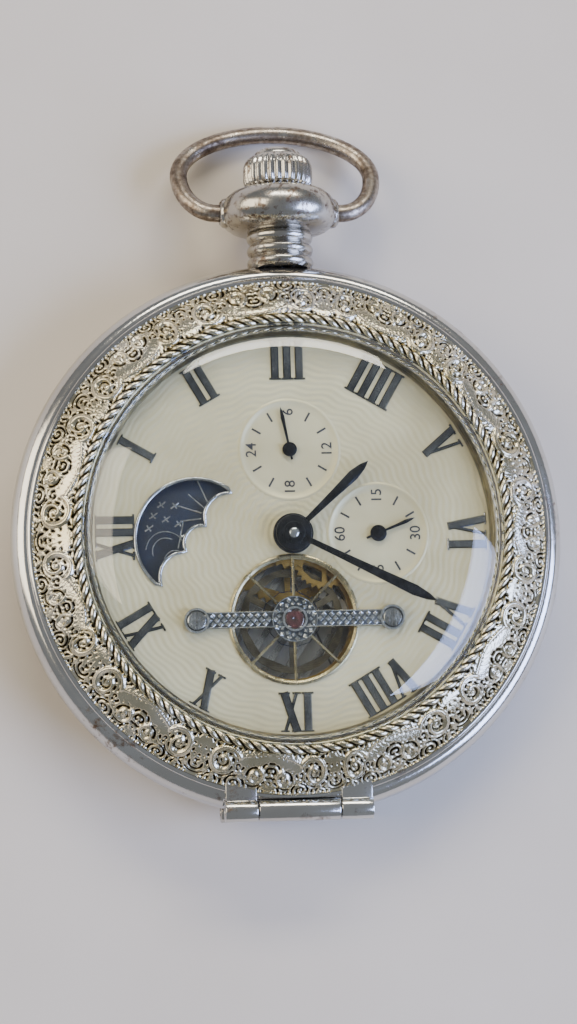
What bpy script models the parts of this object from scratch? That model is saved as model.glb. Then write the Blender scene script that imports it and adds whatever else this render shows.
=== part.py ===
"""Pocket watch lying on its back: case, covers, bow, crown, dial, hands and the hand-wound movement.

Every dimension below is in millimetres; the helpers turn them into Blender's metres.
+Z points out of the dial, +Y towards the crown, and the origin is the middle of the flat back.
Angles are in degrees, counted anticlockwise from +X when looking down on the dial.
"""

import bmesh
import bpy
import math
from mathutils import Matrix, Vector

MM = 0.001

# Case
AXIS_Z = 5.2                 # height of the stem, the pendant and the middle of the band
BAND_EDGE_RADIUS = 22.2      # where the half-round of the band starts
BAND_BULGE = 1.3             # how far the half-round stands out
BAND_HALF_HEIGHT = 1.9
BAND_BORE = 20.3
RIM_SEAT_RADIUS = 21.3       # recess in the band that takes a cover's snap rim
RIM_SEAT_DEPTH = 0.9
COVER_GAP = 0.1
COVER_RADIUS = 22.15
RIM_OUTER = 21.2
RIM_INNER = 20.8
RIM_DEPTH = 0.7
RING_STEPS = 42
BAND_TOP = AXIS_Z + BAND_HALF_HEIGHT
BAND_BOTTOM = AXIS_Z - BAND_HALF_HEIGHT
FRONT_SEAT = BAND_TOP + COVER_GAP
BACK_SEAT = BAND_BOTTOM - COVER_GAP

# Hinges of the two covers, both at the side away from the crown
HINGE_Y = -22.9
KNUCKLE_RADIUS = 0.95
KNUCKLE_CLEARANCE = 1.08
PIN_RADIUS = 0.38
PIN_BORE = 0.46
CASE_KNUCKLE_HALF = 3.4
COVER_KNUCKLE_START = 3.5
COVER_KNUCKLE_END = 6.2
LEAF_THICKNESS = 0.45
LEAF_INSET = 0.06
LEAF_END_Y = -19.3

# Crystal and the ring under it
CRYSTAL_RADIUS = 17.65
CRYSTAL_FOOT = 9.5
CRYSTAL_SHOULDER = 9.8
CRYSTAL_RISE = 3.1
CRYSTAL_WALL = 0.8
CRYSTAL_SQUARENESS = 2.4     # 2 is an ellipse, more is a flatter top and a steeper edge
CRYSTAL_STEPS = 36
BEZEL_BORE = 17.75
RING_BORE = 16.9

# Pendant, stem and crown, all turned about the stem's axis
STEM_RADIUS = 0.7
STEM_BORE = 0.9
STEM_INNER_Y = 13.3
STEM_OUTER_Y = 32.9
CROWN_START_Y = 30.35
CROWN_RADIUS = 3.0
CROWN_RIBS = 18
CROWN_RIB_DEPTH = 0.28
SPIGOT_RADIUS = 1.2
PENDANT_SADDLE_GAP = 0.12

# Bow: a wire loop whose two ends turn in the sides of the pendant's ball
BOW_PIVOT_Y = 28.2
BOW_WIRE_RADIUS = 0.75
BOW_HALF_WIDTH = 8.45
BOW_CREST = 9.3
BOW_REST_GAP = 0.02          # it leans back until its crest rests on the table
BOW_MIDDLE = 4.2
BOW_END_X = 5.4
BOW_TIP_X = 3.9
BOW_SOCKET_RADIUS = 0.9
BOW_SOCKET_X = 3.6
BOW_TILT = -math.degrees(math.asin((AXIS_Z - BOW_WIRE_RADIUS - BOW_REST_GAP) / BOW_CREST))

# Movement levels, from the back to the dial
WINDING_LEVEL = (1.55, 1.95)
BRIDGE_LEVEL = (2.0, 3.0)
PLATE_LEVEL = (5.3, 6.2)
PLATE_RADIUS = 18.0
BRIDGE_RADIUS = 17.6
BRIDGE_WALL = 1.2
BRIDGE_FOOT_Z = 5.25
DIAL_LEVEL = (7.15, 7.5)
DIAL_RADIUS = 18.6
MOTION_LOW = (6.4, 6.58)
MOTION_MIDDLE = (6.64, 6.82)
MOTION_HIGH = (6.88, 7.06)

# Where each arbor stands, looking down on the dial
CENTRE = (0.0, 0.0)
SECONDS = (7.3, 0.0)
BALANCE = (0.0, -7.1)
DAY = (0.0, 7.2)
SUN_MOON = (-8.062, -0.2)

# Tooth counts: wheel, then the pinion it drives
BARREL_TEETH = 36
CENTRE_PINION_TEETH = 6
CENTRE_TEETH = 48
THIRD_PINION_TEETH = 6
THIRD_TEETH = 45
FOURTH_PINION_TEETH = 6
FOURTH_TEETH = 60
ESCAPE_PINION_TEETH = 6
ESCAPE_TEETH = 15
CANNON_TEETH = 10
MINUTE_TEETH = 30
MINUTE_PINION_TEETH = 6
HOUR_TEETH = 24
HOUR_PIPE_TEETH = 12
DAY_IDLER_TEETH = 27
DAY_TEETH = 24
SUN_MOON_TEETH = 48
RATCHET_TEETH = 32
CROWN_WHEEL_TEETH = 24
WINDING_TEETH = 12

# Distances between meshing arbors fix the sizes of the wheels
BARREL_TO_CENTRE = 8.4
CENTRE_TO_THIRD = 6.12
THIRD_TO_FOURTH = 4.08
FOURTH_TO_ESCAPE = 3.74
ESCAPE_TO_PALLET = 3.0
CANNON_TO_MINUTE = 3.36
CENTRE_TO_IDLER = 3.12
RATCHET_TO_CROWN_WHEEL = 7.4
BARREL_DIRECTION = 135.0
ESCAPE_DIRECTION = -115.0
MINUTE_DIRECTION = -35.0
CLICK_DIRECTION = 200.0
CLICK_STAND_OFF = 2.0

# Balance
BALANCE_RADIUS = 4.4
BALANCE_HOLE = 4.9
WINDOW_HOLE = 5.1
WINDOW_RING_OUTER = 5.5
WINDOW_RING_INNER = 4.95
WINDOW_SPOKES = 8
BRIDGE_SCREW_X = 8.2

# Hands: direction in degrees, length
HOUR_HAND = (42.8, 8.9)
MINUTE_HAND = (-26.4, 13.3)
DAY_HAND = (101.0, 3.7)
SECONDS_HAND = (22.0, 3.4)

STEEL = ("polished_steel", (0.62, 0.62, 0.63), 0.25, 1.0)
SILVER = ("silver_plate", (0.72, 0.71, 0.69), 0.3, 1.0)
OLD_SILVER = ("tarnished_silver", (0.52, 0.49, 0.45), 0.42, 1.0)
BRONZE = ("tarnished_bronze", (0.34, 0.28, 0.23), 0.45, 1.0)
BRASS = ("brass", (0.72, 0.56, 0.28), 0.32, 1.0)
GILT = ("gilt", (0.80, 0.62, 0.30), 0.28, 1.0)
GUNMETAL = ("black_nickel", (0.05, 0.05, 0.055), 0.3, 1.0)
CREAM = ("dial_enamel", (0.66, 0.65, 0.58), 0.35, 0.0)
NAVY = ("night_blue", (0.04, 0.06, 0.12), 0.35, 0.0)
RUBY = ("ruby", (0.25, 0.03, 0.04), 0.1, 0.0)
CLEAR = ("mineral_glass", (0.9, 0.95, 0.95), 0.05, 0.0)
BLUED = ("blued_spring", (0.10, 0.14, 0.30), 0.3, 1.0)

for old in list(bpy.data.objects):
    bpy.data.objects.remove(old, do_unlink=True)

watch = bpy.data.collections.new("pocket_watch")
cutters = bpy.data.collections.new("pocket_watch_cutters")
for group in (watch, cutters):
    bpy.context.scene.collection.children.link(group)


# ---------------------------------------------------------------- helpers

def polar(radius, degrees, centre=(0.0, 0.0)):
    angle = math.radians(degrees)
    return (centre[0] + radius * math.cos(angle), centre[1] + radius * math.sin(angle))


def direction(start, end):
    return math.degrees(math.atan2(end[1] - start[1], end[0] - start[0]))


def arc(radius, start, end, steps, centre=(0.0, 0.0)):
    return [polar(radius, start + (end - start) * i / steps, centre) for i in range(steps + 1)]


def circle(radius, steps=24, centre=(0.0, 0.0)):
    return arc(radius, 0.0, 360.0, steps, centre)[:-1]


def material(finish):
    name, colour, roughness, metallic = finish
    found = bpy.data.materials.get(name)
    if found:
        return found
    made = bpy.data.materials.new(name)
    made.use_nodes = True
    shader = made.node_tree.nodes["Principled BSDF"]
    shader.inputs["Base Color"].default_value = (*colour, 1.0)
    shader.inputs["Roughness"].default_value = roughness
    shader.inputs["Metallic"].default_value = metallic
    return made


def place(name, mesh, finish, location):
    """Links a mesh as a part, or as a cutter where it has no finish."""
    obj = bpy.data.objects.new(name, mesh)
    obj.location = Vector(location) * MM
    if finish:
        mesh.materials.append(material(finish))
        watch.objects.link(obj)
    else:
        cutters.objects.link(obj)
        obj.hide_render = True
        obj.display_type = "WIRE"
    return obj


def turned(name, profile, finish, location=(0, 0, 0), closed=True, along_y=False, steps=RING_STEPS):
    """A profile of (radius, height) turned about its own axis."""
    mesh = bpy.data.meshes.new(name)
    count = len(profile)
    edges = [(i, i + 1) for i in range(count - 1)]
    if closed:
        edges.append((count - 1, 0))
    mesh.from_pydata([(r * MM, 0.0, h * MM) for r, h in profile], edges, [])
    obj = place(name, mesh, finish, location)
    if along_y:
        obj.rotation_euler = (math.radians(-90.0), 0.0, 0.0)
    screw = obj.modifiers.new("turned", "SCREW")
    screw.axis = "Z"
    screw.angle = math.radians(360.0)
    screw.steps = steps
    screw.render_steps = steps
    screw.use_merge_vertices = True
    screw.merge_threshold = 0.000001
    return obj


def flat(name, outlines, level, finish, centre=(0.0, 0.0)):
    """A flat piece: the first outline less the others, between two heights."""
    low, high = level
    data = bpy.data.curves.new(name, "CURVE")
    data.dimensions = "2D"
    data.fill_mode = "BOTH"
    data.extrude = (high - low) * 0.5 * MM
    for outline in outlines:
        spline = data.splines.new("POLY")
        spline.points.add(len(outline) - 1)
        spline.use_cyclic_u = True
        for point, (x, y) in zip(spline.points, outline):
            point.co = (x * MM, y * MM, 0.0, 1.0)
    sketch = bpy.data.objects.new(name + "_sketch", data)
    bpy.context.scene.collection.objects.link(sketch)
    bpy.context.view_layer.update()
    mesh = as_mesh(sketch)
    mesh.name = name
    return place(name, mesh, finish, (centre[0], centre[1], (low + high) * 0.5))


def as_mesh(sketch):
    """The closed mesh of a curve object, which is then removed."""
    graph = bpy.context.evaluated_depsgraph_get()
    mesh = bpy.data.meshes.new_from_object(sketch.evaluated_get(graph))
    shape = bmesh.new()
    shape.from_mesh(mesh)
    bmesh.ops.remove_doubles(shape, verts=shape.verts, dist=0.0000005)
    shape.to_mesh(mesh)
    shape.free()
    bpy.data.objects.remove(sketch, do_unlink=True)
    return mesh


def rod(name, radius, level, finish, centre=(0.0, 0.0), steps=16):
    low, high = level
    profile = [(0.0, high), (radius, high), (radius, low), (0.0, low)]
    return turned(name, profile, finish, (*centre, 0.0), closed=False, steps=steps)


def rod_along_x(name, radius, start, end, y, z, finish=None, steps=16):
    """A round bar along X between two places."""
    mesh = bpy.data.meshes.new(name)
    shape = bmesh.new()
    bmesh.ops.create_cone(
        shape,
        cap_ends=True,
        segments=steps,
        radius1=radius * MM,
        radius2=radius * MM,
        depth=(end - start) * MM,
        matrix=Matrix.Rotation(math.radians(90.0), 4, "Y"),
    )
    shape.to_mesh(mesh)
    shape.free()
    return place(name, mesh, finish, ((start + end) * 0.5, y, z))


def block(name, low, high, finish=None):
    mesh = bpy.data.meshes.new(name)
    shape = bmesh.new()
    bmesh.ops.create_cube(shape, size=1.0)
    size = Vector(high) - Vector(low)
    bmesh.ops.scale(shape, vec=size * MM, verts=shape.verts)
    shape.to_mesh(mesh)
    shape.free()
    return place(name, mesh, finish, (Vector(low) + Vector(high)) * 0.5)


def combine(piece, other, operation):
    boolean = piece.modifiers.new(other.name, "BOOLEAN")
    boolean.operation = operation
    boolean.solver = "EXACT"
    boolean.object = other


def join(piece, *others):
    for other in others:
        combine(piece, other, "UNION")


def cut(piece, *others):
    for other in others:
        combine(piece, other, "DIFFERENCE")


def gear_outline(teeth, radius, phase, fine=False):
    """Tooth outline about its own centre, with a tooth at the phase angle."""
    module = 2.0 * radius / teeth
    tip = radius + 0.8 * module
    root = radius - 1.0 * module
    pitch = 360.0 / teeth
    points = []
    for i in range(teeth):
        middle = phase + i * pitch
        if fine:
            points += [polar(tip, middle), polar(root, middle + 0.5 * pitch)]
        else:
            points += [polar(root, middle - 0.3 * pitch), polar(tip, middle - 0.13 * pitch)]
            points += [polar(tip, middle + 0.13 * pitch), polar(root, middle + 0.3 * pitch)]
    return points


def mesh_phase(phase, teeth, other_teeth, towards):
    """Phase of a gear that meshes with one of the given phase, lying in direction towards."""
    pitch = 360.0 / teeth
    offset = (phase - towards) % pitch
    return towards + 180.0 - offset * teeth / other_teeth - 180.0 / other_teeth


def spoke_holes(count, inner, outer, spoke_width, start=0.0):
    """The openings between the spokes of a wheel."""
    holes = []
    for i in range(count):
        low = start + i * 360.0 / count
        high = low + 360.0 / count
        outer_trim = math.degrees(0.5 * spoke_width / outer)
        inner_trim = math.degrees(0.5 * spoke_width / inner)
        hole = arc(outer, low + outer_trim, high - outer_trim, 3)
        hole += arc(inner, high - inner_trim, low + inner_trim, 1)
        holes.append(hole)
    return holes


def slotted_screw(name, centre, head_radius, head_level, shank_radius, shank_end, finish):
    """A cheese-head screw along Z; the head is at head_level, the shank runs to shank_end."""
    low, high = head_level
    if shank_end > high:
        profile = [(0.0, shank_end), (shank_radius, shank_end), (shank_radius, high)]
        profile += [(head_radius, high), (head_radius, low), (0.0, low)]
        slot_level = (low - 0.1, low + 0.12)
    else:
        profile = [(0.0, high), (head_radius, high), (head_radius, low)]
        profile += [(shank_radius, low), (shank_radius, shank_end), (0.0, shank_end)]
        slot_level = (high - 0.12, high + 0.1)
    screw = turned(name, profile, finish, (*centre, 0.0), closed=False, steps=8)
    reach = head_radius + 0.1
    slot_low = (centre[0] - 0.1, centre[1] - reach, slot_level[0])
    slot_high = (centre[0] + 0.1, centre[1] + reach, slot_level[1])
    cut(screw, block(name + "_slot", slot_low, slot_high))
    return screw


def spring_strip(name, inner, outer, turns, steps_per_turn, level, thickness, finish, centre):
    """A flat spiral of thin strip standing on edge."""
    low, high = level
    mesh = bpy.data.meshes.new(name)
    shape = bmesh.new()
    count = int(turns * steps_per_turn)
    previous = None
    edges = []
    for i in range(count + 1):
        share = i / count
        x, y = polar(inner + (outer - inner) * share, 360.0 * turns * share)
        vert = shape.verts.new((x * MM, y * MM, low * MM))
        if previous:
            edges.append(shape.edges.new((previous, vert)))
        previous = vert
    wall = bmesh.ops.extrude_edge_only(shape, edges=edges)
    risen = [v for v in wall["geom"] if isinstance(v, bmesh.types.BMVert)]
    bmesh.ops.translate(shape, vec=(0.0, 0.0, (high - low) * MM), verts=risen)
    shape.to_mesh(mesh)
    shape.free()
    strip = place(name, mesh, finish, (*centre, 0.0))
    solid = strip.modifiers.new("thickness", "SOLIDIFY")
    solid.thickness = thickness * MM
    solid.offset = 0.0
    return strip


# ---------------------------------------------------------------- case

def band_outline(growth=0.0, steps=5):
    """The half-round outside of the band, from its top edge to its bottom edge."""
    points = []
    for i in range(steps + 1):
        angle = math.radians(90.0 - 180.0 * i / steps)
        radius = BAND_EDGE_RADIUS + growth + BAND_BULGE * math.cos(angle)
        points.append((radius, AXIS_Z + (BAND_HALF_HEIGHT + growth) * math.sin(angle)))
    return points


def hinge_cutters(name, z):
    """Room in a ring for the other ring's knuckles: the middle one and the two outer ones."""
    reach = COVER_KNUCKLE_START - 0.03
    middle = rod_along_x(name + "_middle_room", KNUCKLE_CLEARANCE, -reach, reach, HINGE_Y, z)
    sides = []
    for side in (-1, 1):
        ends = sorted((side * CASE_KNUCKLE_HALF, side * (COVER_KNUCKLE_END + 0.1)))
        sides.append(rod_along_x(f"{name}_side_room{side}", KNUCKLE_CLEARANCE, *ends, HINGE_Y, z))
    bore = rod_along_x(name + "_bore", PIN_BORE, -10.0, 10.0, HINGE_Y, z, steps=16)
    return middle, sides, bore


front_room, front_side_rooms, front_bore = hinge_cutters("front_hinge", FRONT_SEAT)
back_room, back_side_rooms, back_bore = hinge_cutters("back_hinge", BACK_SEAT)
stem_way = turned(
    "stem_way",
    [(0.0, 25.0), (STEM_BORE, 25.0), (STEM_BORE, 12.8), (0.0, 12.8)],
    None,
    (0, 0, AXIS_Z),
    closed=False,
    along_y=True,
    steps=16,
)
pinion_room = block("pinion_room", (-2.1, 12.9, AXIS_Z - 2.1), (2.1, 15.5, AXIS_Z + 1.9))
spigot_way = turned(
    "spigot_way",
    [(0.0, 25.0), (SPIGOT_RADIUS + 0.1, 25.0), (SPIGOT_RADIUS + 0.1, 19.0), (0.0, 19.0)],
    None,
    (0, 0, AXIS_Z),
    closed=False,
    along_y=True,
    steps=24,
)


def case_band():
    profile = band_outline()
    profile += [(RIM_SEAT_RADIUS, BAND_BOTTOM), (RIM_SEAT_RADIUS, BAND_BOTTOM + RIM_SEAT_DEPTH)]
    profile += [(BAND_BORE, BAND_BOTTOM + RIM_SEAT_DEPTH), (BAND_BORE, BAND_TOP - RIM_SEAT_DEPTH)]
    profile += [(RIM_SEAT_RADIUS, BAND_TOP - RIM_SEAT_DEPTH), (RIM_SEAT_RADIUS, BAND_TOP)]
    band = turned("case_band", profile, SILVER)
    cut(band, *front_side_rooms, *back_side_rooms, spigot_way)
    half = CASE_KNUCKLE_HALF
    for label, z, bore in (("front", FRONT_SEAT, front_bore), ("back", BACK_SEAT, back_bore)):
        join(band, rod_along_x(f"band_{label}_knuckle", KNUCKLE_RADIUS, -half, half, HINGE_Y, z))
        cut(band, bore)
    return band


def add_knuckles(cover, label, z, leaf_low, leaf_high, room, bore):
    """Cuts room for the band's knuckle and adds the cover's own two on their leaves."""
    cut(cover, room)
    for side in (-1, 1):
        ends = sorted((side * COVER_KNUCKLE_START, side * COVER_KNUCKLE_END))
        knuckle = rod_along_x(f"{label}_knuckle{side}", KNUCKLE_RADIUS, *ends, HINGE_Y, z)
        leaf_ends = (ends[0] + LEAF_INSET, ends[1] - LEAF_INSET)
        leaf_start = (leaf_ends[0], HINGE_Y + 0.55, leaf_low)
        leaf = block(f"{label}_leaf{side}", leaf_start, (leaf_ends[1], LEAF_END_Y, leaf_high))
        join(cover, leaf, knuckle)
    cut(cover, bore)


def front_cover():
    """The bezel: a snap rim, an edge bead, a domed flank and a raised inner ring."""
    profile = [(BEZEL_BORE, 10.05), (18.15, 10.3), (18.6, 9.95)]
    profile += [(19.6, 9.45), (20.7, 8.6), (21.5, 7.7), (21.95, 7.65)]
    profile += [(COVER_RADIUS, 7.45), (COVER_RADIUS, FRONT_SEAT), (RIM_OUTER, FRONT_SEAT)]
    profile += [(RIM_OUTER, FRONT_SEAT - RIM_DEPTH), (RIM_INNER, FRONT_SEAT - RIM_DEPTH)]
    profile += [(RIM_INNER, 7.6), (18.9, 9.1), (BEZEL_BORE, 9.35)]
    cover = turned("front_cover", profile, OLD_SILVER)
    low = FRONT_SEAT + 0.02
    add_knuckles(cover, "front", FRONT_SEAT, low, low + LEAF_THICKNESS, front_room, front_bore)
    return cover


def back_cover():
    """A shallow dish with a flat middle that the watch lies on."""
    profile = [(0.0, 0.5), (15.0, 0.55), (17.2, 0.9), (19.2, 1.65), (RIM_INNER, 2.8)]
    profile += [(RIM_INNER, BACK_SEAT + RIM_DEPTH), (RIM_OUTER, BACK_SEAT + RIM_DEPTH)]
    profile += [(RIM_OUTER, BACK_SEAT), (COVER_RADIUS, BACK_SEAT), (COVER_RADIUS, 2.9)]
    profile += [(21.3, 2.1), (19.6, 1.05), (17.4, 0.35), (15.0, 0.0), (0.0, 0.0)]
    cover = turned("back_cover", profile, SILVER, closed=False)
    high = BACK_SEAT - 0.02
    add_knuckles(cover, "back", BACK_SEAT, high - LEAF_THICKNESS, high, back_room, back_bore)
    return cover


def hinge_pin(name, z):
    end = COVER_KNUCKLE_END - 0.1
    return rod_along_x(name, PIN_RADIUS, -end, end, HINGE_Y, z, STEEL, steps=16)


def dome(radius, rise, start_height, steps):
    """A squarish dome from its crown to its edge."""
    points = []
    power = 2.0 / CRYSTAL_SQUARENESS
    for i in range(steps + 1):
        angle = math.radians(90.0 - 90.0 * i / steps)
        across = radius * max(math.cos(angle), 0.0) ** power
        points.append((across, start_height + rise * max(math.sin(angle), 0.0) ** power))
    points[0] = (0.0, start_height + rise)
    points[-1] = (radius, start_height)
    return points


def crystal():
    inner_radius = CRYSTAL_RADIUS - CRYSTAL_WALL
    profile = dome(CRYSTAL_RADIUS, CRYSTAL_RISE, CRYSTAL_SHOULDER, 5)
    profile += [(CRYSTAL_RADIUS, CRYSTAL_FOOT), (inner_radius, CRYSTAL_FOOT)]
    profile += reversed(dome(inner_radius, CRYSTAL_RISE - CRYSTAL_WALL, CRYSTAL_SHOULDER, 4))
    return turned("crystal", profile, CLEAR, closed=False, steps=CRYSTAL_STEPS)


def crystal_ring():
    top = CRYSTAL_FOOT - 0.05
    bottom = DIAL_LEVEL[1] + 0.1
    profile = [(RING_BORE + 0.1, top), (CRYSTAL_RADIUS, top), (CRYSTAL_RADIUS, bottom), (RING_BORE, bottom)]
    return turned("crystal_ring", profile, BRASS, steps=CRYSTAL_STEPS)


def pendant():
    """Ridged neck and flattened ball on a spigot that passes through the band."""
    profile = [(STEM_BORE, 30.1), (3.2, 30.1), (4.5, 29.5), (5.1, 28.2), (4.6, 27.0), (3.4, 26.3)]
    for ridge in range(3):
        y = 25.9 - 0.75 * ridge
        profile += [(2.45, y), (2.8, y - 0.375)]
    profile += [(2.5, 23.6), (3.05, 22.35), (STEM_BORE, 22.35)]
    body = turned("pendant", profile, OLD_SILVER, (0, 0, AXIS_Z), along_y=True, steps=20)
    saddle = [(r, h) for r, h in band_outline(PENDANT_SADDLE_GAP, 8)]
    saddle += [(15.0, saddle[-1][1]), (15.0, saddle[0][1])]
    cut(body, turned("band_saddle", saddle, None, steps=90))
    spigot = [(STEM_BORE, 24.0), (SPIGOT_RADIUS, 24.0)]
    spigot += [(SPIGOT_RADIUS, 20.4), (STEM_BORE, 20.4)]
    join(body, turned("pendant_spigot", spigot, None, (0, 0, AXIS_Z), along_y=True, steps=16))
    for side in (-1, 1):
        ends = sorted((side * BOW_SOCKET_X, side * 6.0))
        socket = rod_along_x(f"bow_socket{side}", BOW_SOCKET_RADIUS, *ends, BOW_PIVOT_Y, AXIS_Z)
        cut(body, socket)
    return body


def crown():
    """A fluted knob with a domed cap and a blind hole for the stem."""
    rings = [(CROWN_START_Y, 0.93), (30.7, 1.0), (32.5, 0.97), (33.1, 0.78)]
    mesh = bpy.data.meshes.new("crown")
    shape = bmesh.new()
    loops = []
    for y, share in rings:
        loop = []
        for i in range(CROWN_RIBS * 2):
            radius = CROWN_RADIUS * share - (CROWN_RIB_DEPTH if i % 2 else 0.0)
            x, z = polar(radius, 360.0 * i / (CROWN_RIBS * 2))
            loop.append(shape.verts.new((x * MM, y * MM, z * MM)))
        loops.append([shape.edges.new((loop[i - 1], loop[i])) for i in range(len(loop))])
    for first, second in zip(loops, loops[1:]):
        bmesh.ops.bridge_loops(shape, edges=first + second)
    bmesh.ops.holes_fill(shape, edges=loops[0] + loops[-1])
    bmesh.ops.recalc_face_normals(shape, faces=shape.faces)
    shape.to_mesh(mesh)
    shape.free()
    knob = place("crown", mesh, OLD_SILVER, (0, 0, AXIS_Z))
    cap = [(0.0, 33.95), (0.9, 33.85), (1.6, 33.55), (1.9, 33.2), (1.9, 32.8), (0.0, 32.8)]
    cap_piece = turned("crown_cap", cap, None, (0, 0, AXIS_Z), closed=False, along_y=True, steps=24)
    hole = [(0.0, 33.0), (0.78, 33.0), (0.78, 30.0), (0.0, 30.0)]
    join(knob, cap_piece)
    cut(knob, turned("crown_hole", hole, None, (0, 0, AXIS_Z), closed=False, along_y=True, steps=16))
    return knob


def winding_stem():
    profile = [(0.0, STEM_OUTER_Y), (STEM_RADIUS, STEM_OUTER_Y), (STEM_RADIUS, 16.0)]
    profile += [(0.5, 16.0), (0.5, STEM_INNER_Y), (0.0, STEM_INNER_Y)]
    return turned("winding_stem", profile, STEEL, (0, 0, AXIS_Z), closed=False, along_y=True, steps=16)


def bow_route():
    """Half of the loop: along the pivot, round the shoulder and up to the crest."""
    rise = BOW_CREST - BOW_MIDDLE
    turn = BOW_HALF_WIDTH - BOW_END_X
    half = [(BOW_TIP_X, 0.0), (4.7, 0.0)]
    for i in range(6):
        angle = math.radians(90.0 - 18.0 * i)
        half.append((BOW_END_X + turn * math.cos(angle), BOW_MIDDLE * (1.0 - math.sin(angle))))
    for i in range(1, 7):
        angle = math.radians(90.0 * i / 6)
        half.append((BOW_HALF_WIDTH * math.cos(angle), BOW_MIDDLE + rise * math.sin(angle)))
    return half


def bow():
    half = bow_route()
    route = half + [(-x, y) for x, y in reversed(half[:-1])]
    data = bpy.data.curves.new("bow", "CURVE")
    data.dimensions = "3D"
    data.bevel_depth = BOW_WIRE_RADIUS * MM
    data.bevel_resolution = 2
    data.use_fill_caps = True
    spline = data.splines.new("POLY")
    spline.points.add(len(route) - 1)
    for point, (x, y) in zip(spline.points, route):
        point.co = (x * MM, y * MM, 0.0, 1.0)
    sketch = bpy.data.objects.new("bow_sketch", data)
    bpy.context.scene.collection.objects.link(sketch)
    bpy.context.view_layer.update()
    loop = place("bow", as_mesh(sketch), BRONZE, (0, BOW_PIVOT_Y, AXIS_Z))
    loop.rotation_euler = (math.radians(BOW_TILT), 0.0, 0.0)
    return loop


case_band()
front_cover()
back_cover()
hinge_pin("front_hinge_pin", FRONT_SEAT)
hinge_pin("back_hinge_pin", BACK_SEAT)
crystal()
crystal_ring()
pendant()
crown()
winding_stem()
bow()


# ---------------------------------------------------------------- gear train

barrel_at = polar(BARREL_TO_CENTRE, BARREL_DIRECTION)
third_x = (CENTRE_TO_THIRD**2 - THIRD_TO_FOURTH**2 + SECONDS[0] ** 2) / (2.0 * SECONDS[0])
third_at = (third_x, math.sqrt(CENTRE_TO_THIRD**2 - third_x**2))
escape_at = polar(FOURTH_TO_ESCAPE, ESCAPE_DIRECTION, SECONDS)
pallet_line = direction(escape_at, BALANCE)
pallet_at = polar(ESCAPE_TO_PALLET, pallet_line, escape_at)
minute_at = polar(CANNON_TO_MINUTE, MINUTE_DIRECTION)
idler_at = (0.0, CENTRE_TO_IDLER)
crown_wheel_at = (0.0, barrel_at[1] + math.sqrt(RATCHET_TO_CROWN_WHEEL**2 - barrel_at[0] ** 2))


def pitch_radius(teeth, other_teeth, distance):
    """Pitch radius of the first of two gears that mesh over a distance."""
    return distance * teeth / (teeth + other_teeth)


ratchet_pitch_radius = pitch_radius(RATCHET_TEETH, CROWN_WHEEL_TEETH, RATCHET_TO_CROWN_WHEEL)
ratchet_tip = ratchet_pitch_radius * (1.0 + 1.6 / RATCHET_TEETH)
click_at = polar(ratchet_tip + CLICK_STAND_OFF, CLICK_DIRECTION, barrel_at)


def arbor(name, centre, sections):
    """A stepped shaft: each section is (radius, low, high), from the top down."""
    profile = [(0.0, sections[0][2])]
    for radius, low, high in sections:
        profile += [(radius, high), (radius, low)]
    profile.append((0.0, sections[-1][1]))
    return turned(name, profile, None, (*centre, 0.0), closed=False, steps=8)


def wheel(name, at, gear, level, finish, holes, shaft=None, pinion=None, pinion_level=None):
    """A spoked wheel with its arbor and, where it has one, its pinion, all in one piece."""
    outline = gear_outline(*gear, fine=True)
    piece = flat(name, [outline, *holes], level, finish, at)
    if pinion:
        leaves = gear_outline(*pinion, fine=True)
        join(piece, flat(name + "_leaves", [leaves], pinion_level, None, at))
    if shaft:
        join(piece, arbor(name + "_arbor", at, shaft))
    return piece


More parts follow.
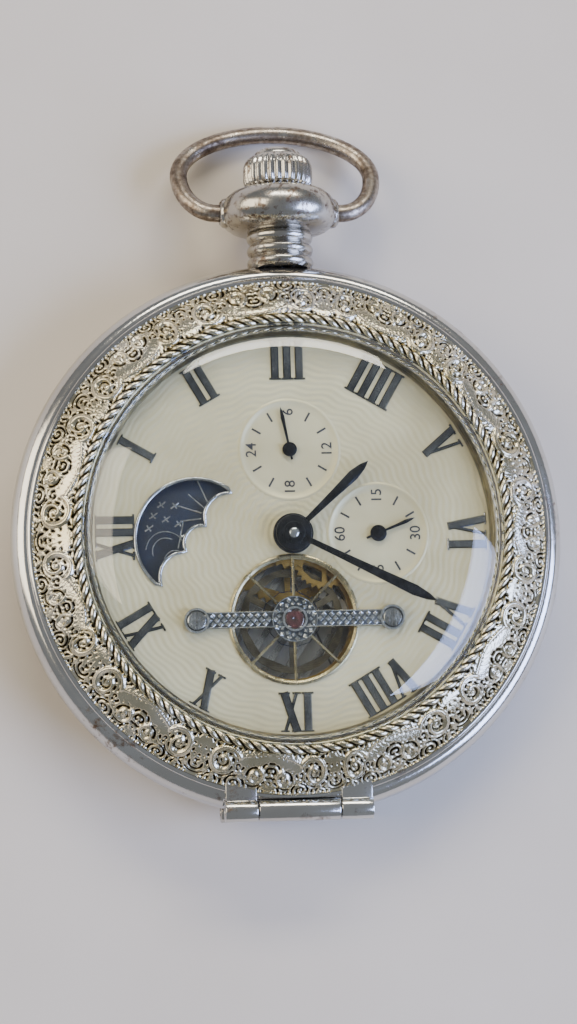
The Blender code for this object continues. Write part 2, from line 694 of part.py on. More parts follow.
def going_train():
    towards_barrel = BARREL_DIRECTION
    to_third = direction(CENTRE, third_at)
    to_fourth = direction(third_at, SECONDS)

    barrel_radius = pitch_radius(BARREL_TEETH, CENTRE_PINION_TEETH, BARREL_TO_CENTRE)
    centre_pinion = pitch_radius(CENTRE_PINION_TEETH, BARREL_TEETH, BARREL_TO_CENTRE)
    centre_radius = pitch_radius(CENTRE_TEETH, THIRD_PINION_TEETH, CENTRE_TO_THIRD)
    third_pinion = pitch_radius(THIRD_PINION_TEETH, CENTRE_TEETH, CENTRE_TO_THIRD)
    third_radius = pitch_radius(THIRD_TEETH, FOURTH_PINION_TEETH, THIRD_TO_FOURTH)
    fourth_pinion = pitch_radius(FOURTH_PINION_TEETH, THIRD_TEETH, THIRD_TO_FOURTH)
    fourth_radius = pitch_radius(FOURTH_TEETH, ESCAPE_PINION_TEETH, FOURTH_TO_ESCAPE)
    escape_pinion = pitch_radius(ESCAPE_PINION_TEETH, FOURTH_TEETH, FOURTH_TO_ESCAPE)

    barrel_phase = mesh_phase(towards_barrel, CENTRE_PINION_TEETH, BARREL_TEETH, towards_barrel)
    drum = flat(
        "mainspring_barrel",
        [gear_outline(BARREL_TEETH, barrel_radius, barrel_phase, fine=True), circle(0.95, 16)],
        (4.96, 5.22),
        BRASS,
        barrel_at,
    )
    wall = [(6.2, 5.05), (6.75, 5.05), (6.75, 3.97), (6.2, 3.97)]
    join(drum, turned("barrel_wall", wall, None, (*barrel_at, 0.0), steps=18))
    flat("barrel_cover", [circle(6.75, 24), circle(0.95, 12)], (3.72, 3.92), BRASS, barrel_at)
    spring_strip("mainspring", 1.5, 5.9, 3.5, 11, (4.0, 4.9), 0.16, BLUED, barrel_at)

    wheel(
        "centre_wheel",
        CENTRE,
        (CENTRE_TEETH, centre_radius, to_third),
        (3.3, 3.52),
        GILT,
        spoke_holes(4, 1.5, centre_radius - 0.9, 0.5),
        [(0.32, 5.1, 6.3), (0.5, 3.05, 5.1), (0.25, 2.2, 3.05)],
        (CENTRE_PINION_TEETH, centre_pinion, towards_barrel),
        (4.9, 5.24),
    )
    wheel(
        "third_wheel",
        third_at,
        (THIRD_TEETH, third_radius, to_fourth),
        (4.0, 4.2),
        GILT,
        spoke_holes(4, 0.9, third_radius - 0.6, 0.4),
        [(0.15, 5.2, 5.8), (0.28, 3.05, 5.2), (0.15, 2.3, 3.05)],
        (THIRD_PINION_TEETH, third_pinion, mesh_phase(to_third, CENTRE_TEETH, THIRD_PINION_TEETH, to_third)),
        (3.12, 3.72),
    )
    wheel(
        "fourth_wheel",
        SECONDS,
        (FOURTH_TEETH, fourth_radius, ESCAPE_DIRECTION),
        (4.7, 4.9),
        GILT,
        spoke_holes(4, 0.8, fourth_radius - 0.55, 0.4),
        [(0.2, 5.2, 7.95), (0.28, 3.05, 5.2), (0.15, 2.3, 3.05)],
        (
            FOURTH_PINION_TEETH,
            fourth_pinion,
            mesh_phase(to_fourth, THIRD_TEETH, FOURTH_PINION_TEETH, to_fourth),
        ),
        (3.85, 4.4),
    )
    escape_teeth = []
    for i in range(ESCAPE_TEETH):
        middle = i * 360.0 / ESCAPE_TEETH
        escape_teeth += [polar(2.1, middle - 6.0), polar(2.55, middle + 4.0)]
        escape_teeth += [polar(2.6, middle + 8.0), polar(2.1, middle + 4.5)]
    escape = flat(
        "escape_wheel",
        [escape_teeth, *spoke_holes(4, 0.7, 1.8, 0.3)],
        (3.92, 4.08),
        STEEL,
        escape_at,
    )
    escape_phase = mesh_phase(ESCAPE_DIRECTION, FOURTH_TEETH, ESCAPE_PINION_TEETH, ESCAPE_DIRECTION)
    leaves = gear_outline(ESCAPE_PINION_TEETH, escape_pinion, escape_phase, fine=True)
    join(escape, flat("escape_leaves", [leaves], (4.5, 5.1), None, escape_at))
    shaft = [(0.14, 5.2, 5.8), (0.22, 3.05, 5.2), (0.14, 2.3, 3.05)]
    join(escape, arbor("escape_arbor", escape_at, shaft))


def pallet_fork():
    """Two arms that reach round the escape wheel, and a lever with a forked end."""
    half = [(2.75, 0.12), (2.75, 0.3), (2.35, 0.16), (0.1, 0.22), (-0.15, 0.5)]
    half += [(-0.5, 1.6), (-0.78, 1.43), (-0.42, 0.8), (-0.36, 0.2)]
    outline = [(2.45, 0.0)] + half + [(x, -y) for x, y in reversed(half)]
    fork = flat("pallet_fork", [outline], (3.92, 4.08), STEEL, pallet_at)
    join(fork, arbor("pallet_arbor", pallet_at, [(0.12, 4.4, 5.2), (0.2, 3.5, 4.4), (0.12, 2.3, 3.5)]))
    fork.rotation_euler = (0.0, 0.0, math.radians(pallet_line))
    return fork


def balance():
    """Balance wheel with its staff and roller, and the hairspring above it."""
    rim = [circle(BALANCE_RADIUS, 36), *spoke_holes(3, 0.8, BALANCE_RADIUS - 0.5, 0.55, 30.0)]
    balance_wheel = flat("balance_wheel", rim, (5.5, 5.85), GILT, BALANCE)
    staff = [(0.12, 6.9, 7.74), (0.28, 4.2, 6.9), (0.85, 3.9, 4.2), (0.28, 3.1, 3.9), (0.12, 2.4, 3.1)]
    join(balance_wheel, arbor("balance_staff", BALANCE, staff))
    spring_strip("hairspring", 0.55, 2.7, 3.5, 11, (6.05, 6.2), 0.06, BLUED, BALANCE)
    return balance_wheel


def motion_works():
    """Cannon pinion, minute wheel, hour wheel, and the wheels of the day hand and the sun and moon."""
    cannon_radius = pitch_radius(CANNON_TEETH, MINUTE_TEETH, CANNON_TO_MINUTE)
    minute_radius = pitch_radius(MINUTE_TEETH, CANNON_TEETH, CANNON_TO_MINUTE)
    minute_pinion = pitch_radius(MINUTE_PINION_TEETH, HOUR_TEETH, CANNON_TO_MINUTE)
    hour_radius = pitch_radius(HOUR_TEETH, MINUTE_PINION_TEETH, CANNON_TO_MINUTE)
    pipe_radius = 0.96
    idler_radius = CENTRE_TO_IDLER - pipe_radius
    day_radius = DAY[1] - CENTRE_TO_IDLER - idler_radius
    sun_moon_radius = math.hypot(*SUN_MOON) - hour_radius

    cannon = flat(
        "cannon_pinion",
        [gear_outline(CANNON_TEETH, cannon_radius, MINUTE_DIRECTION, fine=True), circle(0.38, 12)],
        MOTION_LOW,
        STEEL,
        CENTRE,
    )
    pipe = [(0.38, 9.3), (0.52, 9.3), (0.52, 6.5), (0.38, 6.5)]
    join(cannon, turned("cannon_pipe", pipe, None, steps=12))

    to_sun_moon = direction(CENTRE, SUN_MOON)
    to_hour = MINUTE_DIRECTION + 180.0
    hour_phase = mesh_phase(to_hour, MINUTE_PINION_TEETH, HOUR_TEETH, to_hour)
    minute_phase = mesh_phase(MINUTE_DIRECTION, CANNON_TEETH, MINUTE_TEETH, MINUTE_DIRECTION)
    wheel(
        "minute_wheel",
        minute_at,
        (MINUTE_TEETH, minute_radius, minute_phase),
        MOTION_LOW,
        GILT,
        spoke_holes(4, 0.8, minute_radius - 0.5, 0.4),
        [(0.2, 5.6, 6.86)],
        (MINUTE_PINION_TEETH, minute_pinion, MINUTE_DIRECTION + 180.0),
        (6.5, MOTION_MIDDLE[1]),
    )
    hour = flat(
        "hour_wheel",
        [gear_outline(HOUR_TEETH, hour_radius, hour_phase, fine=True), circle(0.64, 12)],
        MOTION_MIDDLE,
        GILT,
        CENTRE,
    )
    hour_pipe = [(0.62, 8.8), (0.78, 8.8), (0.78, 6.7), (0.62, 6.7)]
    pipe_gear = [gear_outline(HOUR_PIPE_TEETH, pipe_radius, 90.0, fine=True), circle(0.65, 12)]
    join(hour, flat("hour_pipe_gear", pipe_gear, (6.75, MOTION_HIGH[1]), None, CENTRE))
    join(hour, turned("hour_pipe", hour_pipe, None, steps=12))

    idler_phase = mesh_phase(90.0, HOUR_PIPE_TEETH, DAY_IDLER_TEETH, 90.0)
    day_phase = mesh_phase(idler_phase, DAY_IDLER_TEETH, DAY_TEETH, 90.0)
    wheel(
        "day_idler_wheel",
        idler_at,
        (DAY_IDLER_TEETH, idler_radius, idler_phase),
        MOTION_HIGH,
        GILT,
        spoke_holes(4, 0.7, idler_radius - 0.5, 0.4),
        [(0.25, 5.6, 6.95)],
    )
    wheel(
        "day_wheel",
        DAY,
        (DAY_TEETH, day_radius, day_phase),
        MOTION_HIGH,
        GILT,
        [],
        [(0.2, 5.6, 7.95)],
    )
    sun_moon_phase = mesh_phase(hour_phase, HOUR_TEETH, SUN_MOON_TEETH, to_sun_moon)
    wheel(
        "sun_moon_wheel",
        SUN_MOON,
        (SUN_MOON_TEETH, sun_moon_radius, sun_moon_phase),
        (MOTION_MIDDLE[0], MOTION_MIDDLE[1] + 0.1),
        NAVY,
        [],
        [(0.3, 5.6, 6.8)],
    )


def winding_works():
    """Ratchet, crown wheel and click on the back, and the pinion on the stem."""
    crown_radius = pitch_radius(CROWN_WHEEL_TEETH, RATCHET_TEETH, RATCHET_TO_CROWN_WHEEL)
    to_ratchet = direction(crown_wheel_at, barrel_at)
    crown_phase = 90.0 + 180.0 / CROWN_WHEEL_TEETH
    ratchet_phase = mesh_phase(crown_phase, CROWN_WHEEL_TEETH, RATCHET_TEETH, to_ratchet)
    low, high = WINDING_LEVEL

    ratchet = gear_outline(RATCHET_TEETH, ratchet_pitch_radius, ratchet_phase, fine=True)
    flat("ratchet_wheel", [ratchet, circle(0.5, 12)], WINDING_LEVEL, STEEL, barrel_at)
    arbor_profile = [(0.0, 5.26), (0.8, 5.26), (0.8, 2.0), (0.0, 2.0)]
    turned("barrel_arbor", arbor_profile, STEEL, (*barrel_at, 0.0), closed=False, steps=16)
    slotted_screw("ratchet_screw", barrel_at, 1.3, (low - 0.35, low - 0.03), 0.45, high, STEEL)

    crown_teeth = gear_outline(CROWN_WHEEL_TEETH, crown_radius, crown_phase, fine=True)
    crown_wheel = flat("crown_wheel", [crown_teeth, circle(0.5, 12)], WINDING_LEVEL, STEEL, crown_wheel_at)
    boss = [(0.5, 3.1), (1.9, 3.1), (1.9, high - 0.1), (0.5, high - 0.1)]
    join(crown_wheel, turned("crown_wheel_boss", boss, None, (*crown_wheel_at, 0.0), steps=12))
    lower = [crown_teeth, circle(1.2, 12)]
    flat("winding_transfer_wheel", lower, (3.14, 3.6), STEEL, crown_wheel_at)
    slotted_screw("crown_wheel_screw", crown_wheel_at, 1.3, (low - 0.35, low - 0.03), 0.42, 3.0, STEEL)

    leaves = [gear_outline(WINDING_TEETH, 1.5, -90.0, fine=True), circle(0.58, 8)]
    pinion = flat("winding_pinion", leaves, (-0.3, 0.3), STEEL)
    pinion.rotation_euler = (math.radians(-90.0), 0.0, 0.0)
    pinion.location = Vector((0.0, 13.6, AXIS_Z)) * MM
    sleeve = [(0.58, 15.2), (1.1, 15.2), (1.1, 13.8), (0.58, 13.8)]
    join(pinion, turned("winding_sleeve", sleeve, None, (0, 0, AXIS_Z), along_y=True, steps=12))

    outline = arc(0.75, 100.0, 330.0, 8) + [(1.1, 0.35), (1.62, 0.95), (1.5, 1.25), (0.7, 0.75)]
    click = flat("click", [outline, circle(0.3, 10)], WINDING_LEVEL, STEEL, click_at)
    click.rotation_euler = (0.0, 0.0, math.radians(CLICK_DIRECTION + 180.0 - 38.0))
    slotted_screw("click_screw", click_at, 0.6, (low - 0.3, low - 0.03), 0.24, 2.9, STEEL)
    spring = arc(1.5, 190.0, 300.0, 8) + arc(1.35, 300.0, 190.0, 8)
    blade = flat("click_spring", [spring], (low + 0.05, high - 0.05), BLUED, click_at)
    blade.rotation_euler = click.rotation_euler


# ---------------------------------------------------------------- plates and bridges

bridge_line = (-0.6, 0.8)    # normal of the joint between the barrel bridge and the train bridge
screw_angles = (62.0, 166.0, 32.0, -62.0, -98.0, -138.0)


def half_plane(name, normal, offset, z_level=(1.0, 6.0)):
    """A large block that covers everything beyond offset along the normal."""
    reach = 40.0
    low, high = z_level
    slab = block(name, (-reach, 0.0, low), (reach, reach, high))
    angle = math.degrees(math.atan2(normal[1], normal[0])) - 90.0
    shift = Vector((normal[0], normal[1], 0.0)).normalized() * (offset + reach * 0.5)
    slab.rotation_euler = (0.0, 0.0, math.radians(angle))
    slab.location = Vector((shift.x, shift.y, (low + high) * 0.5)) * MM
    return slab


def bridge(name, removed, pivots):
    """A part of the back plate: a floor with a foot round its edge, less what the others cover."""
    low, high = BRIDGE_LEVEL
    inner = BRIDGE_RADIUS - BRIDGE_WALL
    outer = BRIDGE_RADIUS - 0.05
    piece = flat(name, [circle(BRIDGE_RADIUS, 40)], BRIDGE_LEVEL, SILVER)
    foot = [(inner, BRIDGE_FOOT_Z), (outer, BRIDGE_FOOT_Z), (outer, high - 0.3), (inner, high - 0.3)]
    join(piece, turned(name + "_foot", foot, None, steps=40))
    cut(piece, *removed)
    for index, (centre, radius) in enumerate(pivots):
        cut(piece, rod(f"{name}_hole{index}", radius, (low - 0.5, high + 0.5), None, centre, steps=12))
    return piece


def main_plate():
    outlines = [circle(PLATE_RADIUS, 48), circle(BALANCE_HOLE, 32, BALANCE), circle(0.7, 16)]
    plate = flat("main_plate", outlines, PLATE_LEVEL, BRASS)
    low, high = PLATE_LEVEL
    small = [third_at, SECONDS, escape_at, pallet_at, minute_at, idler_at, DAY, SUN_MOON]
    for index, centre in enumerate(small):
        cut(plate, rod(f"plate_hole{index}", 0.4, (low - 0.2, high + 0.2), None, centre, steps=8))
    for index, angle in enumerate(screw_angles):
        centre = polar(BRIDGE_RADIUS - BRIDGE_WALL * 0.5, angle)
        cut(plate, rod(f"plate_screw{index}", 0.45, (low - 0.2, high + 0.2), None, centre, steps=8))
    for side in (-1, 1):
        centre = (side * BRIDGE_SCREW_X, BALANCE[1])
        cut(plate, rod(f"plate_front_screw{side}", 0.45, (low - 0.2, high + 0.2), None, centre, steps=8))
    cut(plate, stem_way, pinion_room)
    return plate


def movement_ring():
    profile = [(18.1, 7.08), (20.15, 6.2), (20.15, 4.5), (18.1, 4.5)]
    profile.insert(1, (19.0, 7.08))
    ring = turned("movement_ring", profile, BRASS)
    cut(ring, stem_way)
    return ring


def bridges():
    barrel_side = half_plane("barrel_side", bridge_line, 2.0)
    not_barrel_side = half_plane("not_barrel_side", (0.6, -0.8), -2.15)
    left_side = half_plane("left_side", (-0.92, -0.39), 0.75)
    not_left_side = half_plane("not_left_side", (0.92, 0.39), -0.9)
    train_holes = [(CENTRE, 0.35), (third_at, 0.25), (SECONDS, 0.25), (escape_at, 0.25), (pallet_at, 0.25)]
    barrel_pivots = [(barrel_at, 0.95), (crown_wheel_at, 2.1), (click_at, 0.3)]
    barrel = bridge("barrel_bridge", [not_barrel_side, stem_way], barrel_pivots)
    train = bridge("train_bridge", [barrel_side, left_side], train_holes)
    rear = bridge("balance_rear_bridge", [barrel_side, not_left_side], [(BALANCE, 0.25)])
    owners = (barrel, barrel, train, train, rear, rear)
    for index, (angle, owner) in enumerate(zip(screw_angles, owners)):
        centre = polar(BRIDGE_RADIUS - BRIDGE_WALL * 0.5, angle)
        hole = rod(f"bridge_screw_way{index}", 0.42, (1.5, 6.0), None, centre, steps=8)
        cut(owner, hole)
        slotted_screw(f"bridge_screw_{index + 1}", centre, 0.58, (1.66, 1.96), 0.34, 6.0, BLUED)


def pallet_bridge():
    """A bar under the main plate that carries the fork's upper pivot inside the balance's opening."""
    outline = [(-0.6, -0.55), (3.9, -0.55), (3.9, 0.55), (-0.6, 0.55)]
    piece = flat("pallet_bridge", [outline, circle(0.2, 8)], (4.98, 5.27), SILVER, pallet_at)
    piece.rotation_euler = (0.0, 0.0, math.radians(-40.0))


def sun_moon_window():
    """Half a disc whose straight side is three scallops, set slantwise about the disc's centre."""
    slant = 52.0
    outline = arc(5.05, 0.0, 180.0, 24)[1:-1]
    outline += arc(2.1, 147.0, 60.0, 6, (-3.1, -1.2))
    outline += arc(1.5, 154.0, 26.0, 6, (0.0, -0.65))
    outline += arc(2.1, 120.0, 33.0, 6, (3.1, -1.2))
    turned_points = []
    for x, y in outline:
        angle = math.degrees(math.atan2(y, x)) + slant
        turned_points.append(polar(math.hypot(x, y), angle, SUN_MOON))
    return turned_points


def dial():
    outlines = [circle(DIAL_RADIUS, 48), circle(WINDOW_HOLE, 32, BALANCE), circle(0.95, 16)]
    outlines += [circle(0.45, 12, SECONDS), circle(0.45, 12, DAY), sun_moon_window()]
    for side in (-1, 1):
        outlines.append(circle(0.45, 12, (side * BRIDGE_SCREW_X, BALANCE[1])))
    return flat("dial", outlines, DIAL_LEVEL, CREAM)


def balance_window():
    """Gilt ring with thin spokes over the opening in the dial, and the engraved bridge across it."""
    top = DIAL_LEVEL[1]
    holes = spoke_holes(WINDOW_SPOKES, 1.15, WINDOW_RING_INNER, 0.26, 22.5)
    ring = [circle(WINDOW_RING_OUTER, 40), *holes, circle(0.8, 16)]
    flat("balance_window_ring", ring, (top + 0.03, top + 0.23), GILT, BALANCE)

    bar_low = (-BRIDGE_SCREW_X, BALANCE[1] - 0.7, top + 0.28)
    bar_high = (BRIDGE_SCREW_X, BALANCE[1] + 0.7, top + 0.6)
    piece = block("balance_bridge", bar_low, bar_high, SILVER)
    join(piece, rod("bridge_hub", 1.95, (top + 0.27, top + 0.7), None, BALANCE, steps=24))
    for side, label in ((-1, "left"), (1, "right")):
        centre = (side * BRIDGE_SCREW_X, BALANCE[1])
        join(piece, rod(f"bridge_pad_{label}", 1.1, (top + 0.03, top + 0.61), None, centre, steps=16))
        cut(piece, rod(f"bridge_pad_hole_{label}", 0.45, (top - 0.2, top + 1.0), None, centre, steps=12))
        name = f"balance_bridge_screw_{label}"
        slotted_screw(name, centre, 0.85, (top + 0.64, top + 0.92), 0.36, 5.6, STEEL)
    cut(piece, rod("jewel_seat", 0.85, (top, top + 1.0), None, BALANCE, steps=24))
    jewel = [(0.0, top + 0.62), (0.5, top + 0.6), (0.78, top + 0.5), (0.78, top + 0.3), (0.0, top + 0.3)]
    turned("balance_jewel", jewel, RUBY, (*BALANCE, 0.0), closed=False, steps=24)


def hand_outline(length, hub, neck, belly, belly_at, tail=0.0):
    """A leaf that widens from its hub and ends in a point; it lies along +X."""
    start = math.degrees(math.asin(neck / hub))
    upper = [(length * 0.45, neck * 0.5 + belly * 0.5), (length * belly_at, belly)]
    points = [(length, 0.0)] + [(x, y) for x, y in reversed(upper)]
    points += arc(hub, start, 180.0 - start if tail else 360.0 - start, 8 if tail else 18)
    if tail:
        points += [(-tail, neck), (-tail, -neck)]
        points += arc(hub, 180.0 + start, 360.0 - start, 8)
    points += [(x, -y) for x, y in upper]
    return points


def hands():
    """The four hands, each on its own arbor, stacked above the dial."""
    top = DIAL_LEVEL[1]
    shapes = (
        ("hour_hand", HOUR_HAND, CENTRE, (8.5, 8.72), 1.7, 0.26, 0.46, 0.8, 0.82, 0.0),
        ("minute_hand", MINUTE_HAND, CENTRE, (9.0, 9.22), 1.5, 0.26, 0.46, 0.84, 0.56, 0.0),
        ("day_hand", DAY_HAND, DAY, (top + 0.25, top + 0.4), 0.62, 0.12, 0.2, 0.7, 0.24, 0.9),
        ("seconds_hand", SECONDS_HAND, SECONDS, (top + 0.25, top + 0.4), 0.7, 0.12, 0.2, 0.75, 0.24, 1.1),
    )
    for name, (angle, length), centre, level, hub, neck, belly, belly_at, bore, tail in shapes:
        outline = hand_outline(length, hub, neck, belly, belly_at, tail)
        piece = flat(name, [outline, circle(bore, 16)], level, GUNMETAL, centre)
        piece.rotation_euler = (0.0, 0.0, math.radians(angle))


going_train()
pallet_fork()
balance()
motion_works()
winding_works()
main_plate()
movement_ring()
bridges()
pallet_bridge()
dial()
balance_window()
hands()

for piece in watch.objects:
    piece.data.shade_smooth()
    piece.data.set_sharp_from_angle(angle=math.radians(35.0))
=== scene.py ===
import math

import bmesh
import bpy
import numpy as np
from mathutils import Matrix, Vector


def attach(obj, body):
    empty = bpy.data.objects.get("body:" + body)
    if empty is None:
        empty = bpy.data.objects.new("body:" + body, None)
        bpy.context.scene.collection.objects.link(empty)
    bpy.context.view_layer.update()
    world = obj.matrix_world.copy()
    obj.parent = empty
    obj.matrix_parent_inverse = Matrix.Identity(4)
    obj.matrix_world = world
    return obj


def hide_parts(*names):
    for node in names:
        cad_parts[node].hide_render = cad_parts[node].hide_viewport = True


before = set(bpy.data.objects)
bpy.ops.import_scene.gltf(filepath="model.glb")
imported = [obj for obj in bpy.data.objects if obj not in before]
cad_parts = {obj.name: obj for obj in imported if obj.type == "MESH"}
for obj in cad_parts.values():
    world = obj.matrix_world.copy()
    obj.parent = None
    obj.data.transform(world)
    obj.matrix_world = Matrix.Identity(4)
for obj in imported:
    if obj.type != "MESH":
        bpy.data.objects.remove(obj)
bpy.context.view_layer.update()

# A pocket watch lying on its back: +Z is up through the dial, +Y points at the crown.
# Sizes below are in millimetres and mm turns them into metres.
mm = 0.001
stemHeight = 5.2


def linearColour(hexColour, alpha=1.0):
    channels = [int(hexColour[i:i + 2], 16) / 255 for i in (1, 3, 5)]
    linear = [c / 12.92 if c <= 0.04045 else ((c + 0.055) / 1.055) ** 2.4 for c in channels]
    return (*linear, alpha)


def addNode(tree, kind, inputs=None, **settings):
    node = tree.nodes.new(kind)
    for key, value in settings.items():
        setattr(node, key, value)
    for socket, value in (inputs or {}).items():
        if isinstance(value, bpy.types.NodeSocket):
            tree.links.new(value, node.inputs[socket])
        else:
            node.inputs[socket].default_value = value
    return node


def newMaterial(name, **shaderValues):
    material = bpy.data.materials.new(name)
    material.use_nodes = True
    tree = material.node_tree
    shader = tree.nodes["Principled BSDF"]
    for socket, value in shaderValues.items():
        shader.inputs[socket.replace("_", " ")].default_value = value
    place = addNode(tree, "ShaderNodeTexCoord").outputs["Object"]
    return material, tree, shader, place


def grain(tree, place, size, detail=3.0, stretch=None, roughness=0.55):
    # cloudy pattern whose features are about size millimetres across
    if stretch:
        place = addNode(tree, "ShaderNodeMapping", {0: place, "Scale": stretch}).outputs[0]
    settings = {"Vector": place, "Scale": 1 / (size * mm), "Detail": detail, "Roughness": roughness}
    return addNode(tree, "ShaderNodeTexNoise", settings).outputs["Fac"]


def ramp(tree, source, stops):
    # stops are (place, colour) pairs; a number stands for a grey
    node = addNode(tree, "ShaderNodeValToRGB", {"Fac": source})
    elements = node.color_ramp.elements
    while len(elements) < len(stops):
        elements.new(0.5)
    for element, (position, colour) in zip(elements, stops):
        element.position = position
        element.color = linearColour(colour) if isinstance(colour, str) else (colour,) * 3 + (1.0,)
    return node.outputs["Color"]


def blend(tree, share, first, second, mode="MIX"):
    inputs = {"Factor": share, 6: first, 7: second}
    node = addNode(tree, "ShaderNodeMix", data_type="RGBA", blend_type=mode)
    for socket, value in inputs.items():
        if isinstance(value, bpy.types.NodeSocket):
            tree.links.new(value, node.inputs[0 if socket == "Factor" else socket])
        else:
            node.inputs[0 if socket == "Factor" else socket].default_value = value
    return node.outputs[2]


def number(tree, operation, first, second=0.0, third=0.0):
    inputs = {0: first, 1: second, 2: third}
    return addNode(tree, "ShaderNodeMath", inputs, operation=operation).outputs[0]


def roughen(tree, shader, height, depth, strength=1.0):
    # depth is how deep the marks are, in millimetres
    inputs = {"Height": height, "Distance": depth * mm, "Strength": strength}
    bump = addNode(tree, "ShaderNodeBump", inputs)
    tree.links.new(bump.outputs[0], shader.inputs["Normal"])
    return bump


def finishPiece(shape, name, material, body, replaced=(), sharpAngle=35):
    mesh = bpy.data.meshes.new(name)
    shape.to_mesh(mesh)
    shape.free()
    mesh.materials.append(material)
    mesh.shade_smooth()
    mesh.set_sharp_from_angle(angle=math.radians(sharpAngle))
    piece = bpy.data.objects.new(name, mesh)
    bpy.context.scene.collection.objects.link(piece)
    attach(piece, body)
    if replaced:
        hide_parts(*replaced)
    return piece


def polar(radius, degrees, centre=(0.0, 0.0)):
    turn = math.radians(degrees)
    return centre[0] + radius * math.cos(turn), centre[1] + radius * math.sin(turn)


def arcPoints(radius, start, end, steps, centre=(0.0, 0.0)):
    return [polar(radius, start + (end - start) * i / steps, centre) for i in range(steps + 1)]


def softenEdges(shape, width, angle=28, segments=2):
    sharp = [e for e in shape.edges if len(e.link_faces) == 2 and e.calc_face_angle(0) > math.radians(angle)]
    if sharp:
        bmesh.ops.bevel(shape, geom=sharp, offset=width * mm, segments=segments, profile=0.5,
                        affect="EDGES", material=-1, clamp_overlap=True)


def spun(profile, steps=192, closed=True, soften=0.0, alongY=False, centre=(0, 0, 0), into=None):
    # turns (radius, height) points round an axis, as on a lathe
    shape = bmesh.new()
    verts = [shape.verts.new((radius * mm, 0, height * mm)) for radius, height in profile]
    pairs = list(zip(verts, verts[1:])) + ([(verts[-1], verts[0])] if closed else [])
    edges = [shape.edges.new(pair) for pair in pairs]
    bmesh.ops.spin(shape, geom=verts + edges, cent=(0, 0, 0), axis=(0, 0, 1), angle=2 * math.pi,
                   steps=steps, use_merge=True)
    bmesh.ops.remove_doubles(shape, verts=shape.verts, dist=0.0005 * mm)
    bmesh.ops.recalc_face_normals(shape, faces=shape.faces)
    if soften:
        softenEdges(shape, soften)
    if alongY:
        bmesh.ops.rotate(shape, verts=shape.verts, matrix=Matrix.Rotation(math.radians(-90), 3, "X"))
    bmesh.ops.translate(shape, verts=shape.verts, vec=Vector(centre) * mm)
    return addInto(into, shape)


def addInto(into, shape):
    # puts one bmesh into another, so that a piece can be made from several shapes
    if into is None:
        return shape
    mesh = bpy.data.meshes.new("part")
    shape.to_mesh(mesh)
    shape.free()
    into.from_mesh(mesh)
    bpy.data.meshes.remove(mesh)
    return into


def bentGrid(around, across, surface):
    # surface turns two shares, round and across, into x, y, z arrays in millimetres
    shape = bmesh.new()
    bmesh.ops.create_grid(shape, x_segments=around, y_segments=across, size=0.5)
    flat = np.array([v.co for v in shape.verts])
    x, y, z, *relief = surface(flat[:, 0] + 0.5, flat[:, 1] + 0.5)
    for vert, place in zip(shape.verts, np.stack([x, y, z], 1) * mm):
        vert.co = place
    if relief:
        layer = shape.verts.layers.float.new("relief")
        for vert, height in zip(shape.verts, relief[0]):
            vert[layer] = height
    bmesh.ops.remove_doubles(shape, verts=shape.verts, dist=0.0008 * mm)
    bmesh.ops.recalc_face_normals(shape, faces=shape.faces)
    return shape


def plate(outlines, low, high, bevel=0.0, into=None, place=Matrix.Identity(4)):
    # a flat outline with its holes, given a thickness and softly bevelled edges
    data = bpy.data.curves.new("outline", "CURVE")
    data.dimensions = "2D"
    data.fill_mode = "BOTH"
    data.extrude = ((high - low) / 2 - bevel) * mm
    data.bevel_depth = bevel * mm
    data.bevel_resolution = 1
    data.offset = -bevel * mm
    for points in outlines:
        spline = data.splines.new("POLY")
        spline.use_cyclic_u = True
        spline.points.add(len(points) - 1)
        for point, (x, y) in zip(spline.points, points):
            point.co = (x * mm, y * mm, 0, 1)
    return curveShape(data, Matrix.Translation((0, 0, (low + high) / 2 * mm)), into, place)


def curveShape(data, lift, into, place):
    sketch = bpy.data.objects.new("sketch", data)
    bpy.context.scene.collection.objects.link(sketch)
    bpy.context.view_layer.update()
    mesh = bpy.data.meshes.new_from_object(sketch.evaluated_get(bpy.context.evaluated_depsgraph_get()))
    mesh.transform(place @ lift)
    bpy.data.objects.remove(sketch)
    shape = bmesh.new()
    shape.from_mesh(mesh)
    bpy.data.meshes.remove(mesh)
    bmesh.ops.remove_doubles(shape, verts=shape.verts, dist=0.0005 * mm)
    return addInto(into, shape)


def tube(points, radius, cyclic=False, resolution=4, into=None, place=Matrix.Identity(4)):
    # points are x, y, z, or x, y, z and a share of the radius
    data = bpy.data.curves.new("route", "CURVE")
    data.dimensions = "3D"
    data.bevel_depth = radius * mm
    data.bevel_resolution = resolution
    data.use_fill_caps = True
    spline = data.splines.new("POLY")
    spline.use_cyclic_u = cyclic
    spline.points.add(len(points) - 1)
    for point, values in zip(spline.points, points):
        point.co = (values[0] * mm, values[1] * mm, values[2] * mm, 1)
        point.radius = values[3] if len(values) > 3 else 1.0
    return curveShape(data, Matrix.Identity(4), into, place)

# Materials
print("Mixing the finishes")


